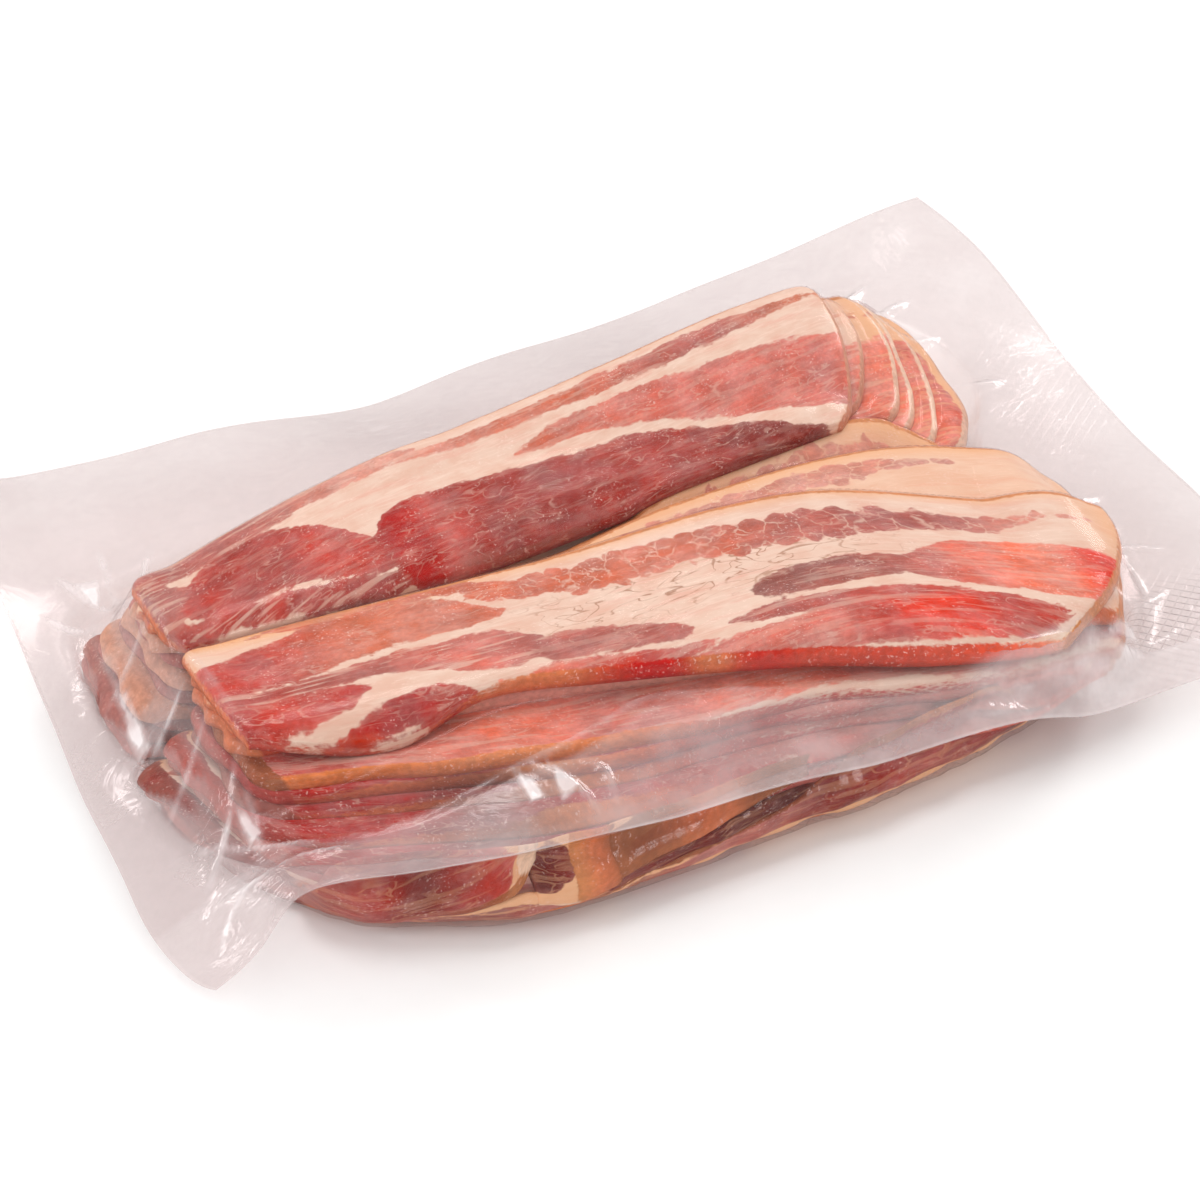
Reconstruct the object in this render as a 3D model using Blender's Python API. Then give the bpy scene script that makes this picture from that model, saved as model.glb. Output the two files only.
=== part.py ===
"""Vacuum pack of sliced streaky bacon, lying on its flat side.

Two piles of belly slices lie side by side, fanned out a little, in a clear pouch.
The pouch clings to the piles and ends all round in a wide, wavy, welded margin.
The sealed pack is one closed solid: a plate cut into a fine grid, whose upper and
lower faces are draped over and under the piles.

Metres, +Z up. X runs along the slices and Y across the two piles, towards the back.
The origin is on the resting surface, at the middle of the pouch.
"""

import bmesh
import bpy
import numpy as np

# Driving dimensions
POUCH_LENGTH = 0.300
POUCH_WIDTH = 0.206
MARGIN_THICKNESS = 0.0011
LAYERS = 11
FILM_GAP = 0.0003

# Sampling of the height maps and of the solid
CELL = 0.0015
MAP_HALF_LENGTH = 0.168
MAP_HALF_WIDTH = 0.120
GRID_ALONG = 190
GRID_ACROSS = 132
SOLID_TRIANGLES = 9400

# How the soft things bend
SLICE_BEND_RADIUS = 0.020
SLICE_OVERHANG = 0.016
BED_CURVE_RADIUS = 0.016
FILM_CLING = 260.0
FILM_LOOSE = 60.0
FILM_TIGHT = 900.0
FILM_PASSES = 420

# The bulge of the lower half beyond the welded margin
BELLY_HEIGHT = 0.008
BELLY_SPREAD = 0.0085
BELLY_FRONT = 0.0085
BELLY_BACK = 0.0030
BELLY_ROOM = 0.006

# The middle of the pouch's outline once its rim has been pulled in
OUTLINE_MIDDLE = (-0.0010, 0.0005)


def curve(points, at):
    """A smooth curve y(x) through points, flat beyond its ends."""
    xs, ys = (np.array(column, float) for column in zip(*points))
    at = np.clip(at, xs[0], xs[-1])
    steps = np.diff(ys) / np.diff(xs)
    slopes = np.concatenate([[steps[0]], (steps[1:] + steps[:-1]) / 2, [steps[-1]]])
    i = np.clip(np.searchsorted(xs, at, side="right") - 1, 0, len(xs) - 2)
    span = xs[i + 1] - xs[i]
    t = (at - xs[i]) / span
    return (
        ys[i] * (1 + 2 * t) * (1 - t) ** 2
        + span * slopes[i] * t * (1 - t) ** 2
        + ys[i + 1] * t * t * (3 - 2 * t)
        + span * slopes[i + 1] * t * t * (t - 1)
    )


# Where the slices lie. Edges run along X and are given as (x, y); ends are given as
# (share of the width from the front edge, x).
BACK_TOP_BACK = [(-0.124, 0.026), (-0.070, 0.040), (-0.011, 0.046), (0.052, 0.054), (0.087, 0.060)]
BACK_TOP_FRONT = [(-0.124, 0.000), (-0.070, -0.006), (-0.006, -0.003), (0.055, 0.005), (0.080, 0.009)]
BACK_LOW_BACK = [(-0.140, 0.038), (-0.080, 0.049), (-0.010, 0.054), (0.055, 0.060), (0.112, 0.058)]
BACK_LOW_FRONT = [(-0.140, -0.008), (-0.070, -0.012), (0.000, -0.010), (0.060, -0.006), (0.112, -0.004)]
FAN_BACKS = [
    [(-0.121, -0.002), (-0.071, -0.010), (-0.024, -0.015), (0.021, -0.016), (0.046, -0.021), (0.086, -0.044), (0.111, -0.057)],
    [(-0.120, -0.006), (-0.060, -0.010), (-0.021, -0.010), (0.004, -0.005), (0.056, -0.004), (0.077, -0.008), (0.101, -0.022), (0.110, -0.030)],
    [(-0.119, -0.008), (-0.060, -0.008), (-0.005, -0.002), (0.026, 0.005), (0.060, 0.012), (0.080, 0.011), (0.094, 0.003), (0.100, -0.004)],
]
FAN_FRONTS = [
    [(-0.121, -0.040), (-0.086, -0.053), (-0.060, -0.053), (-0.034, -0.060), (0.012, -0.075), (0.058, -0.093), (0.111, -0.097)],
    [(-0.120, -0.046), (-0.060, -0.056), (0.000, -0.063), (0.060, -0.077), (0.110, -0.087)],
    [(-0.119, -0.048), (-0.060, -0.060), (0.000, -0.064), (0.060, -0.074), (0.100, -0.080)],
]
FAN_ENDS = [
    [(0.0, 0.079), (0.18, 0.095), (0.5, 0.104), (1.0, 0.111)],
    [(0.0, 0.100), (0.6, 0.107), (1.0, 0.110)],
    [(0.0, 0.094), (1.0, 0.100)],
]
SHELF_FRONT = [(-0.123, -0.050), (-0.105, -0.065), (-0.072, -0.068), (-0.031, -0.075), (0.010, -0.080), (0.059, -0.091), (0.100, -0.092)]
FRONT_LOW_FRONT = [
    (-0.138, -0.046), (-0.122, -0.062), (-0.112, -0.073), (-0.098, -0.080), (-0.082, -0.087),
    (-0.063, -0.091), (-0.009, -0.090), (0.030, -0.089), (0.064, -0.083), (0.114, -0.074),
]
FRONT_LOW_BACK = [(-0.138, -0.016), (-0.060, -0.014), (0.010, -0.016), (0.060, -0.014), (0.114, -0.028)]
LAYER_SPREAD = [0.0, 0.0, 0.0, 0.0, 0.12, 0.40, 0.75, 1.0, 1.0, 1.0, 0.95]
BACK_THICKNESS = [(-0.140, 0.0030), (-0.070, 0.0035), (0.010, 0.0035), (0.080, 0.0031)]
FRONT_THICKNESS = [(-0.140, 0.0031), (-0.070, 0.0035), (0.030, 0.0037), (0.110, 0.0036)]
BACK_END_STEPS = [0.0, 0.006, 0.015, 0.018, 0.024, 0.029, 0.026, 0.028, 0.025, 0.027, 0.024]
END_CORNER = 0.005


def eased(share):
    share = np.clip(share, 0, 1)
    return share * share * (3 - 2 * share)


def blended(first, second, share, xs):
    """Points on a curve between two curves."""
    return [(x, float(curve(first, x) * (1 - share) + curve(second, x) * share)) for x in xs]


def slices():
    """Every slice from the bottom up: its name, edges, ends and thickness along X."""
    stations = np.linspace(-0.140, 0.114, 17)
    found = []
    for layer in reversed(range(LAYERS)):
        depth = layer / (LAYERS - 1)
        spread = LAYER_SPREAD[layer]
        stagger = 0.0022 * np.sin(2.4 * layer + 1.0)
        step = BACK_END_STEPS[layer]
        found.append(
            {
                "name": f"back_{layer + 1:02d}",
                "back": blended(BACK_TOP_BACK, BACK_LOW_BACK, depth, stations),
                "front": blended(BACK_TOP_FRONT, BACK_LOW_FRONT, depth, stations),
                "left": [(0.0, -0.123 - 0.016 * spread), (1.0, -0.124 - 0.012 * spread)],
                "right": [(0.0, 0.074 + 1.1 * step), (0.5, 0.084 + step), (1.0, 0.086 + 0.8 * step)],
                "thickness": BACK_THICKNESS,
            }
        )
        fanned = layer < len(FAN_BACKS)
        reach = 0.100 + 0.014 * depth + 2 * stagger
        found.append(
            {
                "name": f"front_{layer + 1:02d}",
                "back": FAN_BACKS[layer] if fanned else blended(FAN_BACKS[1], FRONT_LOW_BACK, depth, stations),
                "front": FAN_FRONTS[layer] if fanned else blended(SHELF_FRONT, FRONT_LOW_FRONT, spread, stations),
                "left": [(0.0, -0.119 - 0.006 * spread), (0.5, -0.121 - 0.014 * spread), (1.0, -0.121 - 0.018 * spread)],
                "right": FAN_ENDS[layer] if fanned else [(0.0, reach - 0.010), (0.4, reach), (1.0, reach - 0.004)],
                "thickness": FRONT_THICKNESS,
            }
        )
    return found


def map_axes():
    along = np.arange(-MAP_HALF_LENGTH, MAP_HALF_LENGTH + CELL / 2, CELL)
    across = np.arange(-MAP_HALF_WIDTH, MAP_HALF_WIDTH + CELL / 2, CELL)
    return along, across


def edge_distance(piece, x, y):
    """How far inside a slice's outline each point lies, negative outside."""
    front, back = curve(piece["front"], x), curve(piece["back"], x)
    share = (y - front) / (back - front)
    corner = END_CORNER * np.abs(2 * np.clip(share, 0, 1) - 1) ** 8
    left = curve(piece["left"], share) + corner
    right = curve(piece["right"], share) - corner
    return np.minimum(np.minimum(x - left, right - x), np.minimum(y - front, back - y))


def dilated(heights, radius, reach):
    """The lowest surface over heights that bends down no tighter than radius."""
    for axis in (0, 1):
        lifted = heights.copy()
        for step in range(1, int(reach / CELL) + 1):
            drop = (step * CELL) ** 2 / (2 * radius)
            for shifted in (step, -step):
                moved = np.roll(heights, shifted, axis)
                np.maximum(lifted, moved - drop, out=lifted)
        heights = lifted
    return heights


def blurred(heights, passes):
    for _ in range(passes):
        for axis in (0, 1):
            heights = (np.roll(heights, 1, axis) + 2 * heights + np.roll(heights, -1, axis)) / 4
    return heights


def bed(x, y):
    """The resting surface, with the film's pull lifting the lowest slices at their rims."""
    outside = np.maximum(np.abs(x + 0.012) - 0.112, 0)
    outside = np.hypot(outside, np.maximum(np.maximum(-0.086 - y, y - 0.042), 0))
    return FILM_GAP + outside**2 / (2 * BED_CURVE_RADIUS)


def stacked(x, y):
    """(tops, undersides) of the two piles on the map; both are NaN where there is no meat."""
    tops = bed(x, y)
    undersides = np.full_like(tops, np.inf)
    covered = np.zeros(tops.shape, bool)
    for piece in slices():
        inside = edge_distance(piece, x, y)
        mask = inside > 0
        floor = dilated(np.where(mask, tops, -1.0), SLICE_BEND_RADIUS, SLICE_OVERHANG)
        floor = np.maximum(blurred(np.where(mask, floor, tops), 2), tops)
        rounding = np.sqrt(1 - (1 - np.clip(inside / 0.0022, 0, 1)) ** 2)
        thickness = curve(piece["thickness"], x) * (0.45 + 0.55 * rounding)
        undersides = np.where(mask, np.minimum(undersides, floor), undersides)
        tops = np.where(mask, np.maximum(tops, floor + thickness), tops)
        covered |= mask
    return np.where(covered, tops, np.nan), np.where(covered, undersides, np.nan)


# Heights of the welded margin's middle: (x, y, z) at places round the pouch.
MARGIN_HEIGHTS = [
    (-0.150, 0.103, 0.021), (-0.130, 0.103, 0.016), (-0.078, 0.103, 0.014), (-0.026, 0.103, 0.0075),
    (0.018, 0.103, 0.0115), (0.060, 0.103, 0.0135), (0.108, 0.103, 0.021), (0.150, 0.103, 0.026),
    (0.150, 0.071, 0.026), (0.150, 0.029, 0.018), (0.150, -0.010, 0.0155), (0.150, -0.042, 0.0175), (0.150, -0.103, 0.013),
    (0.112, -0.101, 0.014), (0.078, -0.101, 0.014), (0.020, -0.100, 0.020), (-0.032, -0.099, 0.0235), (-0.073, -0.096, 0.0265),
    (-0.102, -0.093, 0.0275), (-0.113, -0.088, 0.0265), (-0.124, -0.085, 0.0225), (-0.135, -0.087, 0.011), (-0.148, -0.087, 0.003),
    (-0.152, -0.060, 0.0035), (-0.152, -0.010, 0.0030), (-0.149, 0.028, 0.009), (-0.148, 0.056, 0.019),
    (-0.060, 0.066, 0.018), (0.000, 0.070, 0.019), (0.060, 0.074, 0.020), (0.108, 0.070, 0.023),
    (0.122, 0.030, 0.021), (0.120, -0.020, 0.018), (0.122, -0.060, 0.017),
    (0.070, -0.094, 0.021), (0.000, -0.086, 0.029), (-0.050, -0.084, 0.030), (-0.100, -0.080, 0.027),
    (-0.124, -0.066, 0.018), (-0.143, -0.030, 0.008), (-0.145, 0.010, 0.0085), (-0.136, 0.045, 0.017),
]


def thin_plate(places, values):
    """A function of x and y: the smoothest surface through values at places."""
    places = np.array(places, float)

    def spread(x, y):
        squared = (x[..., None] - places[:, 0]) ** 2 + (y[..., None] - places[:, 1]) ** 2
        return squared * np.log(squared + 1e-12) / 2

    n = len(places)
    plane = np.column_stack([np.ones(n), places])
    system = np.zeros((n + 3, n + 3))
    system[:n, :n] = spread(places[:, 0], places[:, 1])
    system[:n, n:], system[n:, :n] = plane, plane.T
    solved = np.linalg.solve(system, np.concatenate([values, np.zeros(3)]))
    return lambda x, y: spread(x, y) @ solved[:n] + solved[n] + solved[n + 1] * x + solved[n + 2] * y


def margin_height(x, y):
    heights = thin_plate([p[:2] for p in MARGIN_HEIGHTS], [p[2] for p in MARGIN_HEIGHTS])
    ripple = 0.0006 * np.sin(x * 95 + 1.2) * np.sin(y * 70 + 0.4)
    return np.maximum(heights(x, y) + ripple, MARGIN_THICKNESS)


# How far the rim is pulled: the front by (x, dy), the left and right by (y, dx).
RIM_FRONT = [
    (-0.150, 0.0165), (-0.135, 0.0165), (-0.124, 0.0180), (-0.113, 0.0150), (-0.100, 0.0105),
    (-0.087, 0.0080), (-0.060, 0.0050), (0.020, 0.0030), (0.150, 0.0010),
]
RIM_LEFT = [(-0.103, 0.0045), (-0.080, 0.0000), (-0.060, -0.0025), (-0.040, -0.0020), (-0.010, -0.0010), (0.028, 0.0010), (0.103, 0.0010)]
RIM_RIGHT = [(-0.103, 0.0000), (0.055, 0.0000), (0.085, -0.0015), (0.103, -0.0035)]


def rim(x, y):
    """Where a point of the flat pouch goes in plan, once the contents have pulled the rim in."""
    front_share = np.clip((-0.060 - y) / 0.043, 0, 1) ** 2
    left_share = np.clip((-0.125 - x) / 0.025, 0, 1) ** 2
    right_share = np.clip((x - 0.120) / 0.030, 0, 1) ** 2
    sideways = curve(RIM_LEFT, y) * left_share + curve(RIM_RIGHT, y) * right_share
    return x + sideways, y + curve(RIM_FRONT, x) * front_share


def bellied(x, y, z):
    """Pushes what lies below the margin outwards, most of all at the front."""
    bump = np.exp(-(((z - BELLY_HEIGHT) / BELLY_SPREAD) ** 4)) * eased((margin_height(x, y) - z) / BELLY_ROOM)
    front = eased((-0.058 - y) / 0.032) * eased((0.125 - np.abs(x + 0.022)) / 0.034)
    back = eased((y - 0.036) / 0.020) * eased((0.118 - np.abs(x + 0.010)) / 0.034)
    return x, y - BELLY_FRONT * front * bump + BELLY_BACK * back * bump


def clinging(obstacle, cling):
    """The film drawn down over an obstacle: it touches it, or bridges with curvature cling."""
    film = obstacle.copy()
    pull = cling * CELL * CELL / 4
    for _ in range(FILM_PASSES):
        film[1:-1, 1:-1] = (film[:-2, 1:-1] + film[2:, 1:-1] + film[1:-1, :-2] + film[1:-1, 2:]) / 4 - pull[1:-1, 1:-1]
        np.maximum(film, obstacle, out=film)
    return film


def film_maps():
    """(along, across, upper film, lower film) as height maps."""
    along, across = map_axes()
    x, y = np.meshgrid(along, across)
    tops, undersides = stacked(x, y)
    margin = margin_height(x, y)
    loose = np.clip((-0.108 - x) / 0.010, 0, 1)
    cling = FILM_CLING + (FILM_LOOSE - FILM_CLING) * loose
    upper = clinging(np.fmax(tops + FILM_GAP, margin), cling)
    hang = clinging(-np.fmin(undersides - FILM_GAP, margin), np.full_like(cling, FILM_TIGHT))
    lower = np.maximum(-hang, 0.0)
    return along, across, blurred(upper, 1), np.minimum(blurred(lower, 3), upper)


def sampled(along, across, heights, x, y):
    """Heights between the map's points."""
    column = np.clip((x - along[0]) / CELL, 0, len(along) - 1.001)
    row = np.clip((y - across[0]) / CELL, 0, len(across) - 1.001)
    i, j = row.astype(int), column.astype(int)
    s, t = row - i, column - j
    return (
        heights[i, j] * (1 - s) * (1 - t)
        + heights[i + 1, j] * s * (1 - t)
        + heights[i, j + 1] * (1 - s) * t
        + heights[i + 1, j + 1] * s * t
    )


def clear_scene():
    for thing in list(bpy.data.objects):
        bpy.data.objects.remove(thing, do_unlink=True)


def film_material():
    material = bpy.data.materials.new("clear_film_over_bacon")
    material.use_nodes = True
    shader = material.node_tree.nodes["Principled BSDF"]
    shader.inputs["Base Color"].default_value = (0.66, 0.30, 0.25, 1)
    shader.inputs["Roughness"].default_value = 0.18
    shader.inputs["Metallic"].default_value = 0.0
    return material


def edges_along(mesh, axis):
    across = [a for a in range(3) if a != axis]
    return [e for e in mesh.edges if all(abs(e.verts[0].co[a] - e.verts[1].co[a]) < 1e-6 for a in across)]


def plate(name):
    """A flat plate of unit size whose upper and lower faces are cut into a grid."""
    bpy.ops.mesh.primitive_cube_add(size=1)
    plate = bpy.context.object
    plate.name = plate.data.name = name
    mesh = bmesh.new()
    mesh.from_mesh(plate.data)
    for axis, strips in ((0, GRID_ALONG), (1, GRID_ACROSS)):
        bmesh.ops.subdivide_edges(mesh, edges=edges_along(mesh, axis), cuts=strips - 1, use_grid_fill=True)
    mesh.to_mesh(plate.data)
    mesh.free()
    return plate


def drape(plate):
    """Lays the plate's upper face over the piles and its lower face under them."""
    along, across, upper, lower = film_maps()
    count = len(plate.data.vertices)
    flat = np.empty(count * 3)
    plate.data.vertices.foreach_get("co", flat)
    flat = flat.reshape(-1, 3)
    x, y = rim(flat[:, 0] * POUCH_LENGTH, flat[:, 1] * POUCH_WIDTH)
    above, below = (sampled(along, across, heights, x, y) for heights in (upper, lower))
    thin = np.maximum(MARGIN_THICKNESS - (above - below), 0)
    z = np.where(flat[:, 2] > 0, above + thin / 2, np.maximum(below - thin / 2, 0))
    z = np.where((flat[:, 2] > 0) & (z < MARGIN_THICKNESS), MARGIN_THICKNESS, z)
    x, y = bellied(x, y, z)
    x, y = x - OUTLINE_MIDDLE[0], y - OUTLINE_MIDDLE[1]
    plate.data.vertices.foreach_set("co", np.column_stack([x, y, z]).ravel())
    plate.data.update()


def thin_out(plate):
    """Fewer faces where the film is flat."""
    triangles = 2 * len(plate.data.polygons)
    decimate = plate.modifiers.new("thin_out", "DECIMATE")
    decimate.ratio = SOLID_TRIANGLES / triangles
    decimate.use_collapse_triangulate = True


def main():
    clear_scene()
    pack = bpy.data.collections.new("bacon_pack")
    bpy.context.scene.collection.children.link(pack)
    sealed = plate("sealed_pouch")
    drape(sealed)
    thin_out(sealed)
    sealed.data.materials.append(film_material())
    sealed.data.shade_smooth()
    for holder in list(sealed.users_collection):
        holder.objects.unlink(sealed)
    pack.objects.link(sealed)


if __name__ == "__main__":
    main()
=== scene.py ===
"""Vacuum pack of sliced streaky bacon: every slice, the clear film and the studio.

The slices are laid one on another on a height map, each draped over those below it.
The film is then drawn down over the piles, with its creases, and welded to the sheet
below in a wavy margin. Metres and +Z up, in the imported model's frame: X runs along the
slices, and Y across the piles, towards the back.
"""

import math

import bpy
import numpy as np
from bpy.props import FloatProperty, FloatVectorProperty, IntProperty, PointerProperty
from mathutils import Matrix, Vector


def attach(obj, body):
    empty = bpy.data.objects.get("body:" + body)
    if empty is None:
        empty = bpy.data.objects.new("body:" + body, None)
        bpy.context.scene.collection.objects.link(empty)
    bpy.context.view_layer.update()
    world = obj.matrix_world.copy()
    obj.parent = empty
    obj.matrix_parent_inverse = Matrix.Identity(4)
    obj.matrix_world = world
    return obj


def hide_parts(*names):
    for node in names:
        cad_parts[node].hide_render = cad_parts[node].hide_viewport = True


bl_info = {
    "name": "Bacon pack",
    "version": (1, 0, 0),
    "blender": (4, 5, 0),
    "location": "View3D > Sidebar > Bacon pack",
    "description": "Builds a vacuum pack of sliced streaky bacon around its packed solid",
    "category": "Add Mesh",
}

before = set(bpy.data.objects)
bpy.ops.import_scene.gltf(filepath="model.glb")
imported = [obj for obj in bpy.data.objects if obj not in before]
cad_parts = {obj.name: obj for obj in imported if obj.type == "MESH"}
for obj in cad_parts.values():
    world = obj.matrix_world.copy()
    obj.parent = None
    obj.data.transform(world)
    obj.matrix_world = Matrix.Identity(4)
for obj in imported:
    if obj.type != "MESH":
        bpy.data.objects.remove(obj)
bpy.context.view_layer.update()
SOLID = "sealed_pouch"
BODY = "root"

# ---------------------------------------------------------------- sizes

POUCH_LENGTH = 0.300
POUCH_WIDTH = 0.206
LAYERS = 11
FILM_GAP = 0.0003
MARGIN_GAP = 0.00022
OUTLINE_MIDDLE = (-0.0010, 0.0005)

CELL = 0.001
MAP_HALF_LENGTH = 0.168
MAP_HALF_WIDTH = 0.120

SLICE_BEND_RADIUS = 0.008
SLICE_OVERHANG = 0.016
BED_CURVE_RADIUS = 0.016
PRESSED_EDGES = {"front": 0.0014, "back": 0.0030, "left": 0.0022, "right": 0.0026}
WRAP_ROOM = 0.0026
WRAP_TUCK = 0.0085
WRAP_PARTING = 0.0017
EDGE_DROP = 5.0

FILM_CLING = 420.0
FILM_LOOSE = 60.0
FILM_TIGHT = 900.0
CREASE_CLING = 420.0
FILM_PASSES = 520

BELLY_HEIGHT = 0.008
BELLY_SPREAD = 0.0085
BELLY_FRONT = 0.0085
BELLY_BACK = 0.0030
BELLY_ROOM = 0.006


# ---------------------------------------------------------------- small maths


def curve(points, at):
    """A smooth curve y(x) through points, flat beyond its ends."""
    xs, ys = (np.array(column, float) for column in zip(*points))
    at = np.clip(at, xs[0], xs[-1])
    steps = np.diff(ys) / np.diff(xs)
    slopes = np.concatenate([[steps[0]], (steps[1:] + steps[:-1]) / 2, [steps[-1]]])
    i = np.clip(np.searchsorted(xs, at, side="right") - 1, 0, len(xs) - 2)
    span = xs[i + 1] - xs[i]
    t = (at - xs[i]) / span
    return (
        ys[i] * (1 + 2 * t) * (1 - t) ** 2
        + span * slopes[i] * t * (1 - t) ** 2
        + ys[i + 1] * t * t * (3 - 2 * t)
        + span * slopes[i + 1] * t * t * (t - 1)
    )


def eased(share):
    share = np.clip(share, 0, 1)
    return share * share * (3 - 2 * share)


def linear(colour):
    """A colour given as 0 to 255 on screen, in linear light."""
    return tuple(((c / 255 + 0.055) / 1.055) ** 2.4 if c > 10 else c / 255 / 12.92 for c in colour)


# ---------------------------------------------------------------- how the slices lie

BACK_TOP_BACK = [(-0.124, 0.026), (-0.070, 0.040), (-0.011, 0.046), (0.052, 0.054), (0.087, 0.060)]
BACK_TOP_FRONT = [(-0.124, 0.000), (-0.070, -0.006), (-0.006, -0.003), (0.055, 0.005), (0.080, 0.009)]
BACK_LOW_BACK = [(-0.140, 0.038), (-0.080, 0.049), (-0.010, 0.054), (0.055, 0.060), (0.112, 0.058)]
BACK_LOW_FRONT = [(-0.140, -0.008), (-0.070, -0.012), (0.000, -0.010), (0.060, -0.006), (0.112, -0.004)]
FAN_BACKS = [
    [(-0.121, -0.002), (-0.071, -0.010), (-0.024, -0.015), (0.021, -0.016), (0.046, -0.021), (0.086, -0.044), (0.111, -0.057)],
    [(-0.120, -0.006), (-0.060, -0.010), (-0.021, -0.010), (0.004, -0.005), (0.056, -0.004), (0.077, -0.008), (0.101, -0.022), (0.110, -0.030)],
    [(-0.119, -0.008), (-0.060, -0.008), (-0.005, -0.002), (0.026, 0.005), (0.060, 0.012), (0.080, 0.011), (0.094, 0.003), (0.100, -0.004)],
]
FAN_FRONTS = [
    [(-0.121, -0.040), (-0.086, -0.053), (-0.060, -0.052), (-0.034, -0.059), (0.012, -0.074), (0.045, -0.087), (0.070, -0.093), (0.111, -0.094)],
    [(-0.120, -0.037), (-0.060, -0.048), (0.000, -0.064), (0.060, -0.084), (0.110, -0.090)],
    [(-0.119, -0.039), (-0.060, -0.050), (0.000, -0.065), (0.060, -0.080), (0.100, -0.084)],
]
FAN_ENDS = [
    [(0.0, 0.078), (0.06, 0.084), (0.14, 0.091), (0.33, 0.100), (0.46, 0.1035), (0.57, 0.1062), (0.74, 0.1088), (1.0, 0.1105)],
    [(0.0, 0.100), (0.6, 0.107), (1.0, 0.110)],
    [(0.0, 0.094), (1.0, 0.100)],
]
SHELF_FRONT = [(-0.123, -0.045), (-0.110, -0.051), (-0.095, -0.056), (-0.072, -0.064), (-0.050, -0.071), (-0.031, -0.075), (0.010, -0.080), (0.059, -0.091), (0.100, -0.092)]
FRONT_LOW_FRONT = [
    (-0.138, -0.046), (-0.122, -0.062), (-0.112, -0.073), (-0.098, -0.080), (-0.082, -0.087),
    (-0.063, -0.091), (-0.009, -0.090), (0.030, -0.089), (0.064, -0.083), (0.114, -0.074),
]
FRONT_LOW_BACK = [(-0.138, -0.016), (-0.060, -0.014), (0.010, -0.016), (0.060, -0.014), (0.114, -0.028)]
LAYER_SPREAD = [0.0, 0.0, 0.0, 0.0, 0.07, 0.18, 0.44, 0.80, 1.0, 1.0, 0.95]
LEFT_SPREAD = [0.0, 0.0, 0.05, 0.0, 0.14, 0.16, 0.62, 0.56, 1.0, 1.0, 0.9]
BACK_THICKNESS = [(-0.140, 0.0030), (-0.070, 0.0035), (0.010, 0.0035), (0.080, 0.0031)]
FRONT_THICKNESS = [(-0.140, 0.0031), (-0.070, 0.0035), (0.030, 0.0037), (0.110, 0.0036)]
BACK_END_STEPS = [0.0, 0.006, 0.015, 0.018, 0.024, 0.029, 0.026, 0.028, 0.025, 0.027, 0.024]
END_CORNER = 0.005
# The back slice that reaches out furthest to the right, and its end across the width.
LONG_LAYER = 5
LONG_END = [(0.0, 0.106), (0.25, 0.1145), (0.5, 0.1185), (0.75, 0.1165), (1.0, 0.109)]
# How far the second and third back slices stop short of the first, at the back and front.
BACK_TUCKS = {1: (0.0060, 0.0080), 2: (0.0035, 0.0050), 3: (0.0, 0.0030)}

# Heights of the welded margin's middle: (x, y, z) at places round the pouch.
MARGIN_HEIGHTS = [
    (-0.150, 0.103, 0.021), (-0.130, 0.103, 0.016), (-0.078, 0.103, 0.014), (-0.026, 0.103, 0.0075),
    (0.018, 0.103, 0.0115), (0.060, 0.103, 0.0135), (0.108, 0.103, 0.021), (0.150, 0.103, 0.026),
    (0.150, 0.071, 0.026), (0.150, 0.029, 0.018), (0.150, -0.010, 0.0155), (0.150, -0.042, 0.0175), (0.150, -0.103, 0.013),
    (0.112, -0.101, 0.014), (0.078, -0.101, 0.014), (0.020, -0.100, 0.020), (-0.032, -0.099, 0.0235), (-0.073, -0.096, 0.0265),
    (-0.102, -0.093, 0.0275), (-0.113, -0.088, 0.0265), (-0.124, -0.085, 0.0225), (-0.135, -0.087, 0.011), (-0.148, -0.087, 0.003),
    (-0.152, -0.060, 0.0035), (-0.152, -0.010, 0.0030), (-0.149, 0.028, 0.009), (-0.148, 0.056, 0.019),
    (-0.060, 0.066, 0.018), (0.000, 0.070, 0.019), (0.060, 0.074, 0.020), (0.108, 0.070, 0.023),
    (0.122, 0.030, 0.021), (0.120, -0.020, 0.018), (0.122, -0.060, 0.017),
    (0.070, -0.094, 0.021), (0.000, -0.086, 0.029), (-0.050, -0.084, 0.030), (-0.100, -0.080, 0.027),
    (-0.124, -0.066, 0.018), (-0.143, -0.030, 0.008), (-0.145, 0.010, 0.0085), (-0.136, 0.045, 0.017),
]

# How far the rim is pulled: the front by (x, dy), the left and right by (y, dx).
RIM_FRONT = [
    (-0.150, 0.0165), (-0.135, 0.0165), (-0.124, 0.0180), (-0.113, 0.0150), (-0.100, 0.0105),
    (-0.087, 0.0080), (-0.060, 0.0050), (0.020, 0.0030), (0.150, 0.0010),
]
RIM_LEFT = [(-0.103, 0.0045), (-0.080, 0.0000), (-0.060, -0.0025), (-0.040, -0.0020), (-0.010, -0.0010), (0.028, 0.0010), (0.103, 0.0010)]
RIM_RIGHT = [(-0.103, 0.0000), (0.055, 0.0000), (0.085, -0.0015), (0.103, -0.0035)]


def blended(first, second, share, xs):
    """Points on a curve between two curves."""
    return [(x, float(curve(first, x) * (1 - share) + curve(second, x) * share)) for x in xs]


def uneven(points, wave, amount):
    """The same curve with its points moved a little."""
    return [(at, value + wave.uniform(-amount, amount)) for at, value in points]


def spread_out(points, count=7):
    """A curve of ends given at more shares of the width."""
    return [(float(share), float(curve(points, share))) for share in np.linspace(0, 1, count)]


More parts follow.
